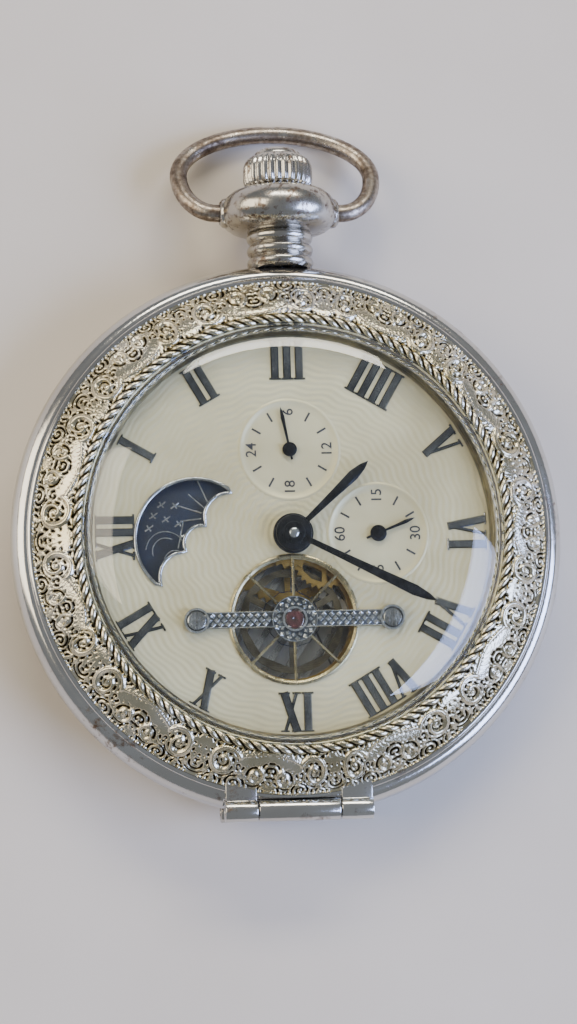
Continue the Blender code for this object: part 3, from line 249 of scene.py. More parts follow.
def silverPlate(name, clean, stain, rubbed, stainShare=0.62, gloss=(0.1, 0.34), speck=0.9):
    # Silver plate over nickel silver, polished and then carried in pockets for years.
    # It gives the eye sharp, slightly wavy reflections, with brown tarnish in freckles and clouds
    # and hairline scratches.
    material, tree, shader, place = newMaterial(name, Metallic=1.0)
    cloud = grain(tree, place, 5.0, 4)
    freckle = grain(tree, place, speck, 5, roughness=0.7)
    stains = ramp(tree, number(tree, "MULTIPLY_ADD", cloud, 0.45, number(tree, "MULTIPLY", freckle, 0.65)),
                  [(stainShare, 0.0), (stainShare + 0.09, 1.0)])
    tone = ramp(tree, grain(tree, place, 9.0, 2), [(0.3, rubbed), (0.7, clean)])
    colour = blend(tree, stains, tone, linearColour(stain))
    tree.links.new(colour, shader.inputs["Base Color"])
    rough = number(tree, "MULTIPLY_ADD", grain(tree, place, 1.6, 6, roughness=0.75), gloss[1] - gloss[0],
                   gloss[0] - 0.06)
    rough = number(tree, "ADD", rough, number(tree, "MULTIPLY", stains, 0.22))
    tree.links.new(rough, shader.inputs["Roughness"])
    scratches = grain(tree, place, 0.25, 3, stretch=(1.0, 0.06, 1.0))
    dents = grain(tree, place, 2.6, 2)
    height = number(tree, "MULTIPLY_ADD", scratches, 0.35, number(tree, "MULTIPLY", dents, 0.8))
    roughen(tree, shader, height, 0.022)
    return material


def chasedSilver():
    # Silver plate pressed into foliage in a die, then blackened and rubbed back.
    # It gives the eye bright crests with a straw-coloured cast and near-black hollows.
    material, tree, shader, place = newMaterial("chasedSilver", Metallic=1.0)
    relief = addNode(tree, "ShaderNodeAttribute", attribute_name="relief").outputs["Fac"]
    patches = grain(tree, place, 4.5, 3)
    crest = ramp(tree, patches, [(0.36, "#c2b99c"), (0.52, "#d9d2b8"), (0.68, "#e4e0d2")])
    lowered = number(tree, "SUBTRACT", relief, 0.17)
    worn = number(tree, "MULTIPLY_ADD", grain(tree, place, 0.5, 4), 0.35, lowered)
    patina = ramp(tree, worn, [(0.16, "#1d1914"), (0.36, "#5b5445"), (0.58, 1.0)])
    tree.links.new(blend(tree, 1.0, crest, patina, "MULTIPLY"), shader.inputs["Base Color"])
    rough = ramp(tree, worn, [(0.1, 0.62), (0.6, 0.2)])
    tree.links.new(rough, shader.inputs["Roughness"])
    roughen(tree, shader, grain(tree, place, 0.16, 3, roughness=0.7), 0.02)
    return material


def tarnishedBronze():
    # Silvered bronze wire that has lost most of its plating and gone brown.
    # It gives the eye a dark matt brown with pale rubbed streaks along the wire.
    material, tree, shader, place = newMaterial("tarnishedBronze", Metallic=1.0)
    rub = number(tree, "MULTIPLY_ADD", grain(tree, place, 3.2, 5, roughness=0.65), 0.7,
                 number(tree, "MULTIPLY", grain(tree, place, 0.4, 4), 0.3))
    colour = ramp(tree, rub, [(0.34, "#54483d"), (0.45, "#83766a"), (0.56, "#a99f93"), (0.7, "#d3cec6")])
    tree.links.new(colour, shader.inputs["Base Color"])
    tree.links.new(ramp(tree, rub, [(0.35, 0.46), (0.68, 0.2)]), shader.inputs["Roughness"])
    roughen(tree, shader, grain(tree, place, 0.3, 5, roughness=0.7), 0.02)
    return material


def mineralGlass():
    # Domed mineral glass, ground and polished.
    # It gives the eye clear reflections and a few hairlines, and lamps reach the dial through it.
    shaderValues = {"Roughness": 0.015, "IOR": 1.5, "Transmission_Weight": 1.0}
    material, tree, shader, place = newMaterial("mineralGlass", **shaderValues)
    shader.inputs["Base Color"].default_value = linearColour("#fbfdfb")
    roughen(tree, shader, grain(tree, place, 0.5, 2, stretch=(1.0, 0.02, 1.0)), 0.0006)
    clear = addNode(tree, "ShaderNodeBsdfTransparent", {"Color": linearColour("#f7faf7")})
    lampRay = addNode(tree, "ShaderNodeLightPath").outputs["Is Shadow Ray"]
    mixed = addNode(tree, "ShaderNodeMixShader", {0: lampRay, 1: shader.outputs[0], 2: clear.outputs[0]})
    tree.links.new(mixed.outputs[0], tree.nodes["Material Output"].inputs["Surface"])
    return material


def turnedBrass(name, bright, dull, spacing, gloss=0.3, centre=(0.0, 0.0)):
    # Brass turned on a lathe and gilded: fine rings round its centre, warm and a little cloudy.
    material, tree, shader, place = newMaterial(name, Metallic=1.0)
    shift = (-centre[0] * mm, -centre[1] * mm, 0.0)
    centred = addNode(tree, "ShaderNodeMapping", {0: place, "Location": shift}).outputs[0]
    settings = {"Vector": centred, "Scale": 0.314 / (spacing * mm), "Distortion": 0.6, "Detail": 2.0}
    wave = addNode(tree, "ShaderNodeTexWave", settings, wave_type="RINGS", rings_direction="Z")
    rings = wave.outputs["Fac"]
    tone = ramp(tree, grain(tree, place, 2.4, 5), [(0.36, dull), (0.62, bright)])
    tree.links.new(blend(tree, number(tree, "MULTIPLY", rings, 0.25), tone, linearColour(dull)),
                   shader.inputs["Base Color"])
    rough = number(tree, "MULTIPLY_ADD", grain(tree, place, 0.8, 4), 0.3, gloss - 0.12)
    tree.links.new(rough, shader.inputs["Roughness"])
    roughen(tree, shader, rings, 0.006)
    return material


def stripedNickel():
    # Nickel-plated brass bridges with broad ground stripes, as a finisher rules them.
    # It gives the eye soft bands 1.6 mm wide whose grain leans over at each edge.
    material, tree, shader, place = newMaterial("stripedNickel", Metallic=1.0)
    turned = addNode(tree, "ShaderNodeMapping", {0: place, "Rotation": (0, 0, math.radians(35))}).outputs[0]
    bands = addNode(tree, "ShaderNodeTexWave", {"Vector": turned, "Scale": 0.314 / (1.6 * mm)},
                    wave_type="BANDS", bands_direction="X", wave_profile="SAW").outputs["Fac"]
    combed = grain(tree, place, 0.35, 4, stretch=(1.0, 0.12, 1.0))
    shade = number(tree, "MULTIPLY_ADD", combed, 0.3, number(tree, "MULTIPLY", bands, 0.7))
    tree.links.new(ramp(tree, shade, [(0.1, "#8e8c88"), (0.8, "#cfcdc8")]), shader.inputs["Base Color"])
    tree.links.new(ramp(tree, shade, [(0.1, 0.42), (0.8, 0.22)]), shader.inputs["Roughness"])
    roughen(tree, shader, number(tree, "ADD", bands, number(tree, "MULTIPLY", combed, 0.25)), 0.02)
    return material


def workedSteel(name, dark, light, roughness, size=0.5):
    # Tool steel, ground and polished by hand, or heated until it turns blue or black.
    # It gives the eye a tight gloss with faint cross grain and cloudy oxide.
    material, tree, shader, place = newMaterial(name, Metallic=1.0)
    cloud = grain(tree, place, size * 3, 5, roughness=0.65)
    tree.links.new(ramp(tree, cloud, [(0.35, dark), (0.68, light)]), shader.inputs["Base Color"])
    fine = grain(tree, place, size * 0.3, 4, stretch=(1.0, 0.2, 1.0))
    tree.links.new(number(tree, "MULTIPLY_ADD", fine, 0.25, roughness - 0.12), shader.inputs["Roughness"])
    roughen(tree, shader, fine, 0.006)
    return material


def champagneDial():
    # Brass dial silvered and varnished to a warm champagne, over engine turning.
    # It gives the eye a satin glow with fine dust specks.
    shaderValues = {"Metallic": 0.35, "Coat_Weight": 0.12, "Coat_Roughness": 0.3}
    material, tree, shader, place = newMaterial("champagneDial", **shaderValues)
    cloud = grain(tree, place, 8.0, 4)
    tone = ramp(tree, cloud, [(0.35, "#b0a582"), (0.65, "#c3ba98")])
    dust = ramp(tree, grain(tree, place, 0.14, 2), [(0.70, 0.0), (0.74, 1.0)])
    tree.links.new(blend(tree, number(tree, "MULTIPLY", dust, 0.35), tone, linearColour("#8b8775")),
                   shader.inputs["Base Color"])
    rough = number(tree, "MULTIPLY_ADD", grain(tree, place, 0.5, 4), 0.2, 0.3)
    tree.links.new(rough, shader.inputs["Roughness"])
    roughen(tree, shader, grain(tree, place, 0.12, 3), 0.002)
    return material


def printedInk():
    # Black enamel ink pad-printed on the dial: matt, slightly broken at its edges.
    material, tree, shader, place = newMaterial("printedInk", Specular_IOR_Level=0.4)
    speckle = grain(tree, place, 0.12, 3)
    tree.links.new(ramp(tree, speckle, [(0.3, "#17161a"), (0.75, "#34323a")]), shader.inputs["Base Color"])
    tree.links.new(number(tree, "MULTIPLY_ADD", speckle, 0.2, 0.4), shader.inputs["Roughness"])
    return material


def nightLacquer():
    # Dark blue lacquer over sunburst brass, rubbed smooth: deep blue with a fine grain and a clear coat.
    shaderValues = {"Metallic": 0.2, "Coat_Weight": 0.3, "Coat_Roughness": 0.15}
    material, tree, shader, place = newMaterial("nightLacquer", **shaderValues)
    fine = grain(tree, place, 0.18, 4)
    tone = number(tree, "MULTIPLY_ADD", grain(tree, place, 2.5, 3), 0.7, number(tree, "MULTIPLY", fine, 0.3))
    tree.links.new(ramp(tree, tone, [(0.35, "#060c1b"), (0.66, "#101d36")]), shader.inputs["Base Color"])
    tree.links.new(number(tree, "MULTIPLY_ADD", fine, 0.2, 0.28), shader.inputs["Roughness"])
    roughen(tree, shader, fine, 0.004)
    return material


def garnet():
    # Cut and polished red-brown bearing stone: dark, glassy, with a glow where light gets into it.
    material, tree, shader, place = newMaterial("garnet", IOR=1.76, Coat_Weight=1.0, Coat_Roughness=0.03)
    depth = grain(tree, place, 0.5, 3)
    tree.links.new(ramp(tree, depth, [(0.35, "#1d0f10"), (0.7, "#4a2021")]), shader.inputs["Base Color"])
    tree.links.new(number(tree, "MULTIPLY_ADD", depth, 0.1, 0.06), shader.inputs["Roughness"])
    return material


caseSilver = silverPlate("caseSilver", "#d6d7d6", "#7c6a5c", "#c3bfb8")
oldSilver = silverPlate("oldSilver", "#c9c7c2", "#6b5c50", "#aaa69e", stainShare=0.56, gloss=(0.12, 0.4),
                        speck=0.6)
backSilver = silverPlate("backSilver", "#d2d1cd", "#8d7a68", "#bdb7ad", stainShare=0.6, gloss=(0.14, 0.36))
embossSilver = chasedSilver()
bowBronze = tarnishedBronze()
glass = mineralGlass()
ringBrass = turnedBrass("ringBrass", "#8d8467", "#3f3a2d", 0.12, 0.3)
plateBrass = turnedBrass("plateBrass", "#b99a5c", "#8a6f3e", 0.5, 0.34)
wheelGilt = turnedBrass("wheelGilt", "#c9a861", "#94783f", 0.18, 0.3)
windowGilt = turnedBrass("windowGilt", "#c9bd97", "#7c7258", 0.1, 0.24, centre=(0.0, -7.1))
bridgeNickel = stripedNickel()
steel = workedSteel("polishedSteel", "#8b8c8e", "#c2c4c6", 0.24)
bluedSteel = workedSteel("bluedSteel", "#151d3d", "#2f3f74", 0.24)
blackSteel = workedSteel("blackSteel", "#17181c", "#34353b", 0.3, size=0.3)
numeralSilver = workedSteel("numeralSilver", "#a3a6ac", "#dfe2e6", 0.16, size=0.6)
filigreeSilver = workedSteel("filigreeSilver", "#b9bdc1", "#eceeef", 0.18, size=0.3)
numeralSteel = workedSteel("numeralSteel", "#5e6067", "#a4a7ad", 0.14, size=0.8)
# the bridge bar's dark silver is painted shade between the hobnail studs; the studs and borders get the
# bright silver
shadedBridgeSilver = workedSteel("shadedBridgeSilver", "#34363a", "#5f6266", 0.34, size=0.3)
# the balance wheel gets a dull, dark brass: painted shade for the dark inside of the balance window
shadedBalanceBrass = turnedBrass("shadedBalanceBrass", "#8a8069", "#4c4536", 0.18, 0.3)
dialFinish = champagneDial()
ink = printedInk()
nightBlue = nightLacquer()
stone = garnet()

# Case
print("Turning the case")
band = {"edge": 22.2, "bulge": 1.3, "halfHeight": 1.9, "bore": 20.3, "seatRadius": 21.3, "seatDepth": 0.9}
hinge = {"y": -22.9, "front": 7.2, "back": 3.2, "radius": 0.95, "bore": 0.46, "room": 1.08,
         "bandHalf": 3.4, "coverStart": 3.5, "coverEnd": 6.2}


def knuckle(into, start, end, height):
    # one barrel of a hinge, along X round its pin
    shape = spun([(hinge["bore"], start), (hinge["radius"], start), (hinge["radius"], end),
                  (hinge["bore"], end)], steps=40, soften=0.09)
    bmesh.ops.rotate(shape, verts=shape.verts, matrix=Matrix.Rotation(math.radians(90), 3, "Y"))
    bmesh.ops.translate(shape, verts=shape.verts, vec=Vector((0, hinge["y"], height)) * mm)
    return addInto(into, shape)


def rodX(radius, start, end, y, z):
    shape = bmesh.new()
    bmesh.ops.create_cone(shape, cap_ends=True, segments=40, radius1=radius * mm, radius2=radius * mm,
                          depth=(end - start) * mm)
    bmesh.ops.rotate(shape, verts=shape.verts, matrix=Matrix.Rotation(math.radians(90), 3, "Y"))
    bmesh.ops.translate(shape, verts=shape.verts, vec=Vector(((start + end) / 2, y, z)) * mm)
    return shape


def carve(shape, *cutters):
    # takes the cutters' shapes out of the first one
    def standIn(part, label):
        mesh = bpy.data.meshes.new(label)
        part.to_mesh(mesh)
        part.free()
        item = bpy.data.objects.new(label, mesh)
        bpy.context.scene.collection.objects.link(item)
        return item
    body = standIn(shape, "body")
    tools = [standIn(cutter, "cutter") for cutter in cutters]
    for tool in tools:
        cut = body.modifiers.new("cut", "BOOLEAN")
        cut.object = tool
        cut.operation = "DIFFERENCE"
        cut.solver = "EXACT"
    bpy.context.view_layer.update()
    result = bmesh.new()
    result.from_object(body, bpy.context.evaluated_depsgraph_get())
    for item in [body, *tools]:
        bpy.data.objects.remove(item)
    return result


def leaf(into, side, low, high):
    # tongue that joins a cover to its outer hinge barrel
    length = hinge["coverEnd"] - hinge["coverStart"] - 0.12
    shape = bmesh.new()
    bmesh.ops.create_cube(shape, size=mm)
    bmesh.ops.scale(shape, verts=shape.verts, vec=(length, 2.2, high - low))
    softenEdges(shape, 0.08)
    middle = side * (hinge["coverStart"] + hinge["coverEnd"]) / 2
    bmesh.ops.translate(shape, verts=shape.verts, vec=Vector((middle, -21.6, (low + high) / 2)) * mm)
    return addInto(into, shape)


def bandProfile():
    points = [(band["edge"] + band["bulge"] * x, stemHeight + band["halfHeight"] * y)
              for x, y in arcPoints(1.0, -90, 90, 28)]
    low, high = stemHeight - band["halfHeight"], stemHeight + band["halfHeight"]
    seat, bore, depth = band["seatRadius"], band["bore"], band["seatDepth"]
    return points + [(seat + 0.1, high), (seat, high - 0.1), (seat, high - depth), (bore, high - depth),
                     (bore, low + depth), (seat, low + depth), (seat, low + 0.1), (seat + 0.1, low)]


stemHole = bmesh.new()
bmesh.ops.create_cone(stemHole, cap_ends=True, segments=40, radius1=1.3 * mm, radius2=1.3 * mm, depth=6 * mm)
bmesh.ops.rotate(stemHole, verts=stemHole.verts, matrix=Matrix.Rotation(math.radians(90), 3, "X"))
bmesh.ops.translate(stemHole, verts=stemHole.verts, vec=Vector((0, 22, stemHeight)) * mm)
hingeReach = hinge["coverEnd"] + 0.1
bandShape = carve(spun(bandProfile(), steps=240), stemHole,
                  rodX(hinge["room"], -hingeReach, hingeReach, hinge["y"], hinge["front"]),
                  rodX(hinge["room"], -hingeReach, hingeReach, hinge["y"], hinge["back"]))
for height in (hinge["front"], hinge["back"]):
    knuckle(bandShape, -hinge["bandHalf"], hinge["bandHalf"], height)
finishPiece(bandShape, "caseBand", caseSilver, "case", ["case_band"])


# Front cover: plain rim, chased foliage, rope border and hinge barrels
print("Chasing the bezel")
foliage = {"repeats": 22, "radius": 20.1, "width": 3.5, "relief": 0.46, "sink": 0.3,
           "around": 1900, "across": 50}
slope = [(18.42, 10.06), (18.95, 9.86), (19.55, 9.5), (20.2, 9.02), (20.8, 8.47), (21.3, 7.94), (21.66, 7.6)]


def coverProfile():
    inside = [(17.75, 9.35), (17.75, 9.94), (17.85, 10.0), (18.1, 9.95), (18.35, 9.75)]
    under = [(r - 0.18, z - 0.42) for r, z in slope[1:-1]]
    rim = [(21.5, 7.38), (21.68, 7.46), (21.76, 7.6), (21.92, 7.62), (22.07, 7.54), (22.14, 7.42),
           (22.15, 7.24), (22.1, 7.2)]
    snap = [(21.2, 7.2), (21.2, 6.5), (20.85, 6.5), (20.8, 6.6), (20.8, 7.6), (18.9, 9.1)]
    return inside + under + rim + snap


coverShape = carve(spun(coverProfile(), steps=240, soften=0.0),
                   rodX(hinge["room"], -hinge["coverStart"], hinge["coverStart"], hinge["y"], hinge["front"]))
for side in (-1, 1):
    ends = sorted((side * hinge["coverStart"], side * hinge["coverEnd"]))
    knuckle(coverShape, *ends, hinge["front"])
    leaf(coverShape, side, hinge["front"] + 0.02, hinge["front"] + 0.47)
finishPiece(coverShape, "bezelRim", caseSilver, "front_cover", ["front_cover"])


fills = [(0.15, 1.7, 1.0, 0.5), (1.3, 0.35, 1.0, -0.5), (1.2, 2.2, 0.9, 0.5), (2.5, 1.7, 0.7, -0.5),
         (2.6, 3.1, 1.0, 0.5), (3.75, 1.5, 1.5, 0.5), (4.3, 3.3, 0.8, -0.5), (5.6, 2.4, 0.9, 0.5),
         (5.4, 0.4, 0.9, -0.5), (0.2, 3.3, 0.7, -0.5), (2.7, 0.1, 0.8, 0.5)]


def foliageTile():
    # height map of one spray of foliage, 0 to 1, which the bezel repeats and mirrors
    step = 0.03
    length = 2 * math.pi * foliage["radius"] / foliage["repeats"]
    across = foliage["width"]
    u, v = np.meshgrid(np.arange(0, length + step, step), np.arange(0, across + step, step), indexing="ij")
    tile = np.zeros_like(u)

    def press(points, widths, height, groove=0.0):
        nonlocal tile
        reach = np.full_like(u, 9.0)
        for (x, y), width in zip(points, widths):
            reach = np.minimum(reach, np.hypot(u - x, v - y) / width)
        dome = np.sqrt(np.clip(1 - reach**2, 0, 1)) - groove * np.exp(-(reach / 0.33) ** 2)
        tile = np.maximum(tile, height * dome)

    def blade(x, y, heading, length, width, bend, height=0.8, groove=0.3):
        # a leaf lobe that starts at x, y and curves as it goes
        points, widths = [], []
        for i in range(17):
            share = i / 16
            points.append((x, y))
            widths.append(width * (0.3 + math.sin(math.pi * min(1.0, 0.12 + 0.86 * share)) * 0.8))
            turn = math.radians(heading + bend * share)
            x += math.cos(turn) * length / 16
            y += math.sin(turn) * length / 16
        press(points, widths, height, groove)

    def curl(x, y, radius, start, turns, width, shrink=0.22):
        # a stem that winds in to a bead
        points, widths = [], []
        for i in range(70):
            share = i / 69
            size = radius * (shrink + (1 - shrink) * (1 - share) ** 1.15)
            points.append(polar(size, start + 360 * turns * share, (x, y)))
            widths.append(width * (1.15 - 0.45 * share))
        press(points, widths, 1.0)
        press([(x, y)], [0.2], 1.0, 0.4)

    curl(3.75, 1.5, 1.32, 205, 1.3, 0.22)
    curl(1.15, 2.15, 0.7, 250, -1.1, 0.17, shrink=0.3)
    for i in range(8):                                   # ribs between the turns of the big scroll
        angle = 205 + 45 * i
        blade(*polar(1.1, angle, (3.75, 1.5)), angle + 148, 0.66, 0.15, 40, 0.72)
    for i in range(6):                                   # comb leaf on the back of the big scroll
        angle = -70 + 27 * i
        blade(*polar(1.3, angle, (3.75, 1.5)), angle + 28, 0.8 + 0.1 * (i % 2), 0.2, 40)
    for i in range(7):                                   # spray that trails away from the scroll
        along = i / 6
        blade(2.75 - 2.3 * along, 0.8 - 0.5 * along, 118 + 24 * along, 1.35 - 0.5 * along, 0.2, 46)
    for i in range(6):
        along = i / 5
        blade(2.5 - 2.1 * along, 0.62 - 0.42 * along, 232 - 10 * along, 0.55, 0.12, -30, 0.7)
    stem = [(2.62 - 2.7 * i / 24, 0.9 - 0.72 * math.sin(1.57 * i / 24)) for i in range(25)]
    press(stem, [0.14] * 25, 1.0, 0.3)
    for i in range(5):                                   # upper spray that fills the outer edge
        blade(2.45 - 0.33 * i, 2.5 + 0.05 * i, 205 + 12 * i, 0.75, 0.13, -50, 0.75)
    for heading, reach in ((92, 1.6), (66, 1.35), (44, 1.0), (24, 0.6)):   # half a palmette at the mirror
        blade(length - reach * 0.02, 0.25, 180 - heading, reach * 1.3, 0.17, 30)
    for heading, reach in ((-90, 1.1), (-58, 0.9), (-30, 0.6)):
        blade(0.05, across - 0.2, heading, reach, 0.15, 40)
    beads = [(2.35, 2.1, 0.2), (4.95, 2.5, 0.17), (5.2, 0.42, 0.15), (1.6, 1.25, 0.13), (0.35, 1.0, 0.13)]
    for x, y, radius in beads:
        press([(x, y)], [radius], 0.8, 0.35)
    ground = np.full_like(u, 9.0)                        # low curls fill every gap, one round each centre
    curls = np.zeros_like(u)
    for x, y, size, turn in fills:
        distance = np.hypot(u - x, v - y)
        winding = np.arctan2(v - y, u - x)
        ridge = np.abs(np.cos(distance * math.pi / 0.38 + turn * winding)) ** 0.9
        nearer = distance / size < ground
        curls = np.where(nearer, ridge, curls)
        ground = np.where(nearer, distance / size, ground)
    return np.maximum(tile, 0.04 + 0.6 * curls), step, length


def sampleTile(tile, step, along, across):
    # smooth reading between the tile's own points
    x = np.clip(along / step, 0, tile.shape[0] - 1.001)
    y = np.clip(across / step, 0, tile.shape[1] - 1.001)
    i, j = x.astype(int), y.astype(int)
    a, b = x - i, y - j
    low = tile[i, j] * (1 - a) + tile[i + 1, j] * a
    high = tile[i, j + 1] * (1 - a) + tile[i + 1, j + 1] * a
    return low * (1 - b) + high * b


def foliageSurface(turnShare, acrossShare):
    tile, step, length = foliageTile()
    angle = turnShare * 2 * math.pi
    top = 47 / foliage["across"]                         # the last three rows close the underside
    share = np.clip(acrossShare / top, 0, 1)
    share = np.where(acrossShare > top + 0.03, 0.0, share)
    under = acrossShare > top + 0.005
    closing = acrossShare > 0.995
    share = np.where(closing, 0.0, share)
    radii, heights = np.array(slope).T
    places = np.linspace(0, 1, len(slope))
    radius = np.interp(share, places, radii)
    height = np.interp(share, places, heights)
    lean = np.arctan2(np.gradient(heights), np.gradient(radii))
    tilt = np.interp(share, places, lean)
    along = turnShare * foliage["repeats"] * length + 0.3 * np.sin(5 * angle + 1) + 0.2 * np.sin(9 * angle)
    spot = np.mod(along, 2 * length)
    spot = np.where(spot > length, 2 * length - spot, spot)
    wander = share * foliage["width"] + 0.12 * np.sin(7 * angle + 2) * np.sin(np.pi * share)
    relief = sampleTile(tile, step, spot, wander)
    border = np.clip(np.minimum(share, 1 - share) / 0.025, 0, 1)
    relief = relief * border + 0.85 * (1 - border)
    lift = np.where(under & ~closing, -0.62, relief * foliage["relief"] - foliage["sink"])
    radius = radius - np.sin(tilt) * lift
    height = height + np.cos(tilt) * lift
    return radius * np.cos(angle), radius * np.sin(angle), height, relief


finishPiece(bentGrid(foliage["around"], foliage["across"], foliageSurface), "bezelFoliage", embossSilver,
            "front_cover", sharpAngle=60)

rope = {"radius": 18.05, "height": 10.05, "strands": 112, "thick": 0.2, "strand": 0.22, "twist": 1}


def ropeSurface(turnShare, acrossShare):
    angle = turnShare * 2 * math.pi
    winding = acrossShare * 2 * math.pi
    lay = np.abs(np.cos(rope["strands"] / 2 * angle + rope["twist"] * winding)) ** 1.1
    thick = rope["thick"] + rope["strand"] * lay
    radius = rope["radius"] + thick * np.cos(winding)
    height = rope["height"] + thick * np.sin(winding) * 0.85
    return radius * np.cos(angle), radius * np.sin(angle), height, lay


finishPiece(bentGrid(rope["strands"] * 8, 18, ropeSurface), "bezelRope", embossSilver,
            "front_cover", sharpAngle=60)

print("Seating the crystal")
dome = {"radius": 17.65, "foot": 9.5, "shoulder": 9.8, "rise": 3.1, "wall": 0.55, "squareness": 2.4}


def domeArc(radius, rise, steps):
    power = 2 / dome["squareness"]
    angles = [math.pi / 2 * i / steps for i in range(steps + 1)]
    return [(radius * math.cos(a) ** power if a < 1.5707 else 0.0,
             dome["shoulder"] + rise * math.sin(a) ** power) for a in angles]


outer = [(dome["radius"], dome["foot"])] + domeArc(dome["radius"], dome["rise"], 40)
innerRadius = dome["radius"] - dome["wall"]
inner = domeArc(innerRadius, dome["rise"] - dome["wall"], 40)[::-1] + [(innerRadius, dome["foot"])]
finishPiece(spun(outer + inner, steps=180), "crystalDome", glass, "front_cover",
            ["crystal"])

ringProfile = [(16.9, 7.6), (16.92, 8.4), (17.0, 8.5), (17.0, 8.75), (17.12, 8.85), (17.12, 9.1),
               (17.22, 9.2), (17.22, 9.45), (17.65, 9.45), (17.65, 7.6)]
finishPiece(spun(ringProfile, steps=180, soften=0.03), "crystalSeatRing", ringBrass, "front_cover",
            ["crystal_ring"])

print("Turning the back cover")
back = {"flat": 14.6, "rays": 48, "depth": 0.05}
backProfile = [(0, 0.5), (15, 0.55), (17.2, 0.9), (19.2, 1.65), (20.8, 2.8), (20.8, 3.9), (21.2, 3.9),
               (21.2, 3.2), (22.1, 3.2), (22.15, 3.15), (22.15, 2.9), (21.9, 2.62), (21.3, 2.12),
               (20.5, 1.55), (19.6, 1.05), (18.5, 0.62), (17.4, 0.34), (16.6, 0.2), (16.3, 0.22),
               (16.1, 0.12), (15.0, 0.02), (14.75, 0.06), (0, 0.07)]
backShape = carve(spun(backProfile, steps=240, closed=False),
                  rodX(hinge["room"], -hinge["coverStart"], hinge["coverStart"], hinge["y"], hinge["back"]))
for side in (-1, 1):
    ends = sorted((side * hinge["coverStart"], side * hinge["coverEnd"]))
    knuckle(backShape, *ends, hinge["back"])
    leaf(backShape, side, hinge["back"] - 0.47, hinge["back"] - 0.02)
finishPiece(backShape, "backShell", backSilver, "back_cover", ["back_cover"])


def engineTurning(turnShare, acrossShare):
    # rosette cut into the back round a plain shield; the last rows close it inside the metal
    angle = turnShare * 2 * math.pi
    share = np.clip(acrossShare / 0.95, 0, 1)
    radius = back["flat"] * (0.3 + 0.7 * share)
    wave = np.sin(radius * 2 * math.pi / 0.9 + 2.2 * np.cos(back["rays"] / 2 * angle)) * 0.5 + 0.5
    height = back["depth"] * wave * np.clip(np.minimum(share, 1 - share) / 0.03, 0, 1)
    inside = (acrossShare > 0.955) & (acrossShare < 0.995)
    radius = np.where(acrossShare > 0.97, back["flat"] * 0.3, radius)
    height = np.where(inside, 0.2, np.where(acrossShare > 0.995, 0.0, height))
    return radius * np.cos(angle), radius * np.sin(angle), height


finishPiece(bentGrid(600, 100, engineTurning), "backEngraving", backSilver, "back_cover",
            sharpAngle=60)

# Pendant, crown and bow
print("Shaping the pendant, the crown and the bow")
pendant = {"ballY": 28.2, "ridges": (26.0, 24.9, 23.8)}
crown = {"ribs": 30, "groove": 0.2}
bow = {"pivotY": 28.2, "wire": 0.75, "halfWidth": 8.45, "crest": 9.3, "middle": 4.2, "endX": 5.4,
       "tipX": 3.95, "thinEnd": 0.85}


def pendantProfile():
    # radius against distance along +Y, outside first and then back down the stem's bore
    ball = [(3.2, 30.12), (3.55, 30.1), (4.1, 29.86), (4.6, 29.45), (4.93, 28.9), (5.08, 28.2), (4.98, 27.6),
            (4.7, 27.1), (4.2, 26.75), (3.55, 26.5), (3.0, 26.36)]
    neck = []
    for ridge in pendant["ridges"]:
        neck += [(2.62, ridge + 0.36), (2.78, ridge + 0.22), (2.86, ridge), (2.84, ridge - 0.2),
                 (2.72, ridge - 0.42), (2.56, ridge - 0.52), (2.5, ridge - 0.6)]
    foot = [(2.55, 23.15), (2.75, 22.9), (3.05, 22.7)]
    bore = [(0.95, 22.7), (0.95, 29.7), (2.4, 29.9)]
    return ball + neck + foot + bore


bandTool = spun([(10, 1), (23.3, 1), (23.3, 9), (10, 9)], steps=120)
pendantShape = carve(spun(pendantProfile(), steps=96, alongY=True, centre=(0, 0, stemHeight)), bandTool)
for side in (-1, 1):
    collar = spun([(0.95, 4.35), (1.25, 4.4), (1.3, 4.6), (1.22, 4.92), (0.98, 5.12), (0.95, 5.0)], steps=40)
    bmesh.ops.rotate(collar, verts=collar.verts, matrix=Matrix.Rotation(math.radians(side * 90), 3, "Y"))
    bmesh.ops.translate(collar, verts=collar.verts, vec=Vector((0, pendant["ballY"], stemHeight)) * mm)
    addInto(pendantShape, collar)
finishPiece(pendantShape, "pendantBall", oldSilver, "case", ["pendant"], sharpAngle=50)


def crownSurface(turnShare, acrossShare):
    # fluted skirt, then a plain rolled edge and a domed cap; it closes underneath
    angle = turnShare * 2 * math.pi
    path = [(0.0, 30.5), (1.6, 30.5), (2.5, 30.38), (2.72, 30.42), (2.9, 30.65), (3.0, 31.1), (3.0, 31.7),
            (2.96, 32.25), (2.75, 32.75), (2.4, 33.05), (2.15, 33.12), (2.02, 33.18), (1.98, 33.3),
            (1.88, 33.5), (1.55, 33.7), (1.0, 33.86), (0.5, 33.93), (0.0, 33.95)]
    places = np.linspace(0, 1, len(path))
    radius = np.interp(acrossShare, places, [p[0] for p in path])
    height = np.interp(acrossShare, places, [p[1] for p in path])
    skirt = np.interp(acrossShare, [2.4 / 17, 3.4 / 17, 8 / 17, 9.6 / 17], [0, 1, 1, 0])
    flute = np.abs(np.cos(crown["ribs"] / 2 * angle)) ** 1.5
    radius = radius - crown["groove"] * skirt * (1 - flute)
    return radius * np.cos(angle), height, stemHeight + radius * np.sin(angle)


finishPiece(bentGrid(crown["ribs"] * 12, 51, crownSurface), "crownKnob", oldSilver, "crown",
            ["crown"], sharpAngle=60)


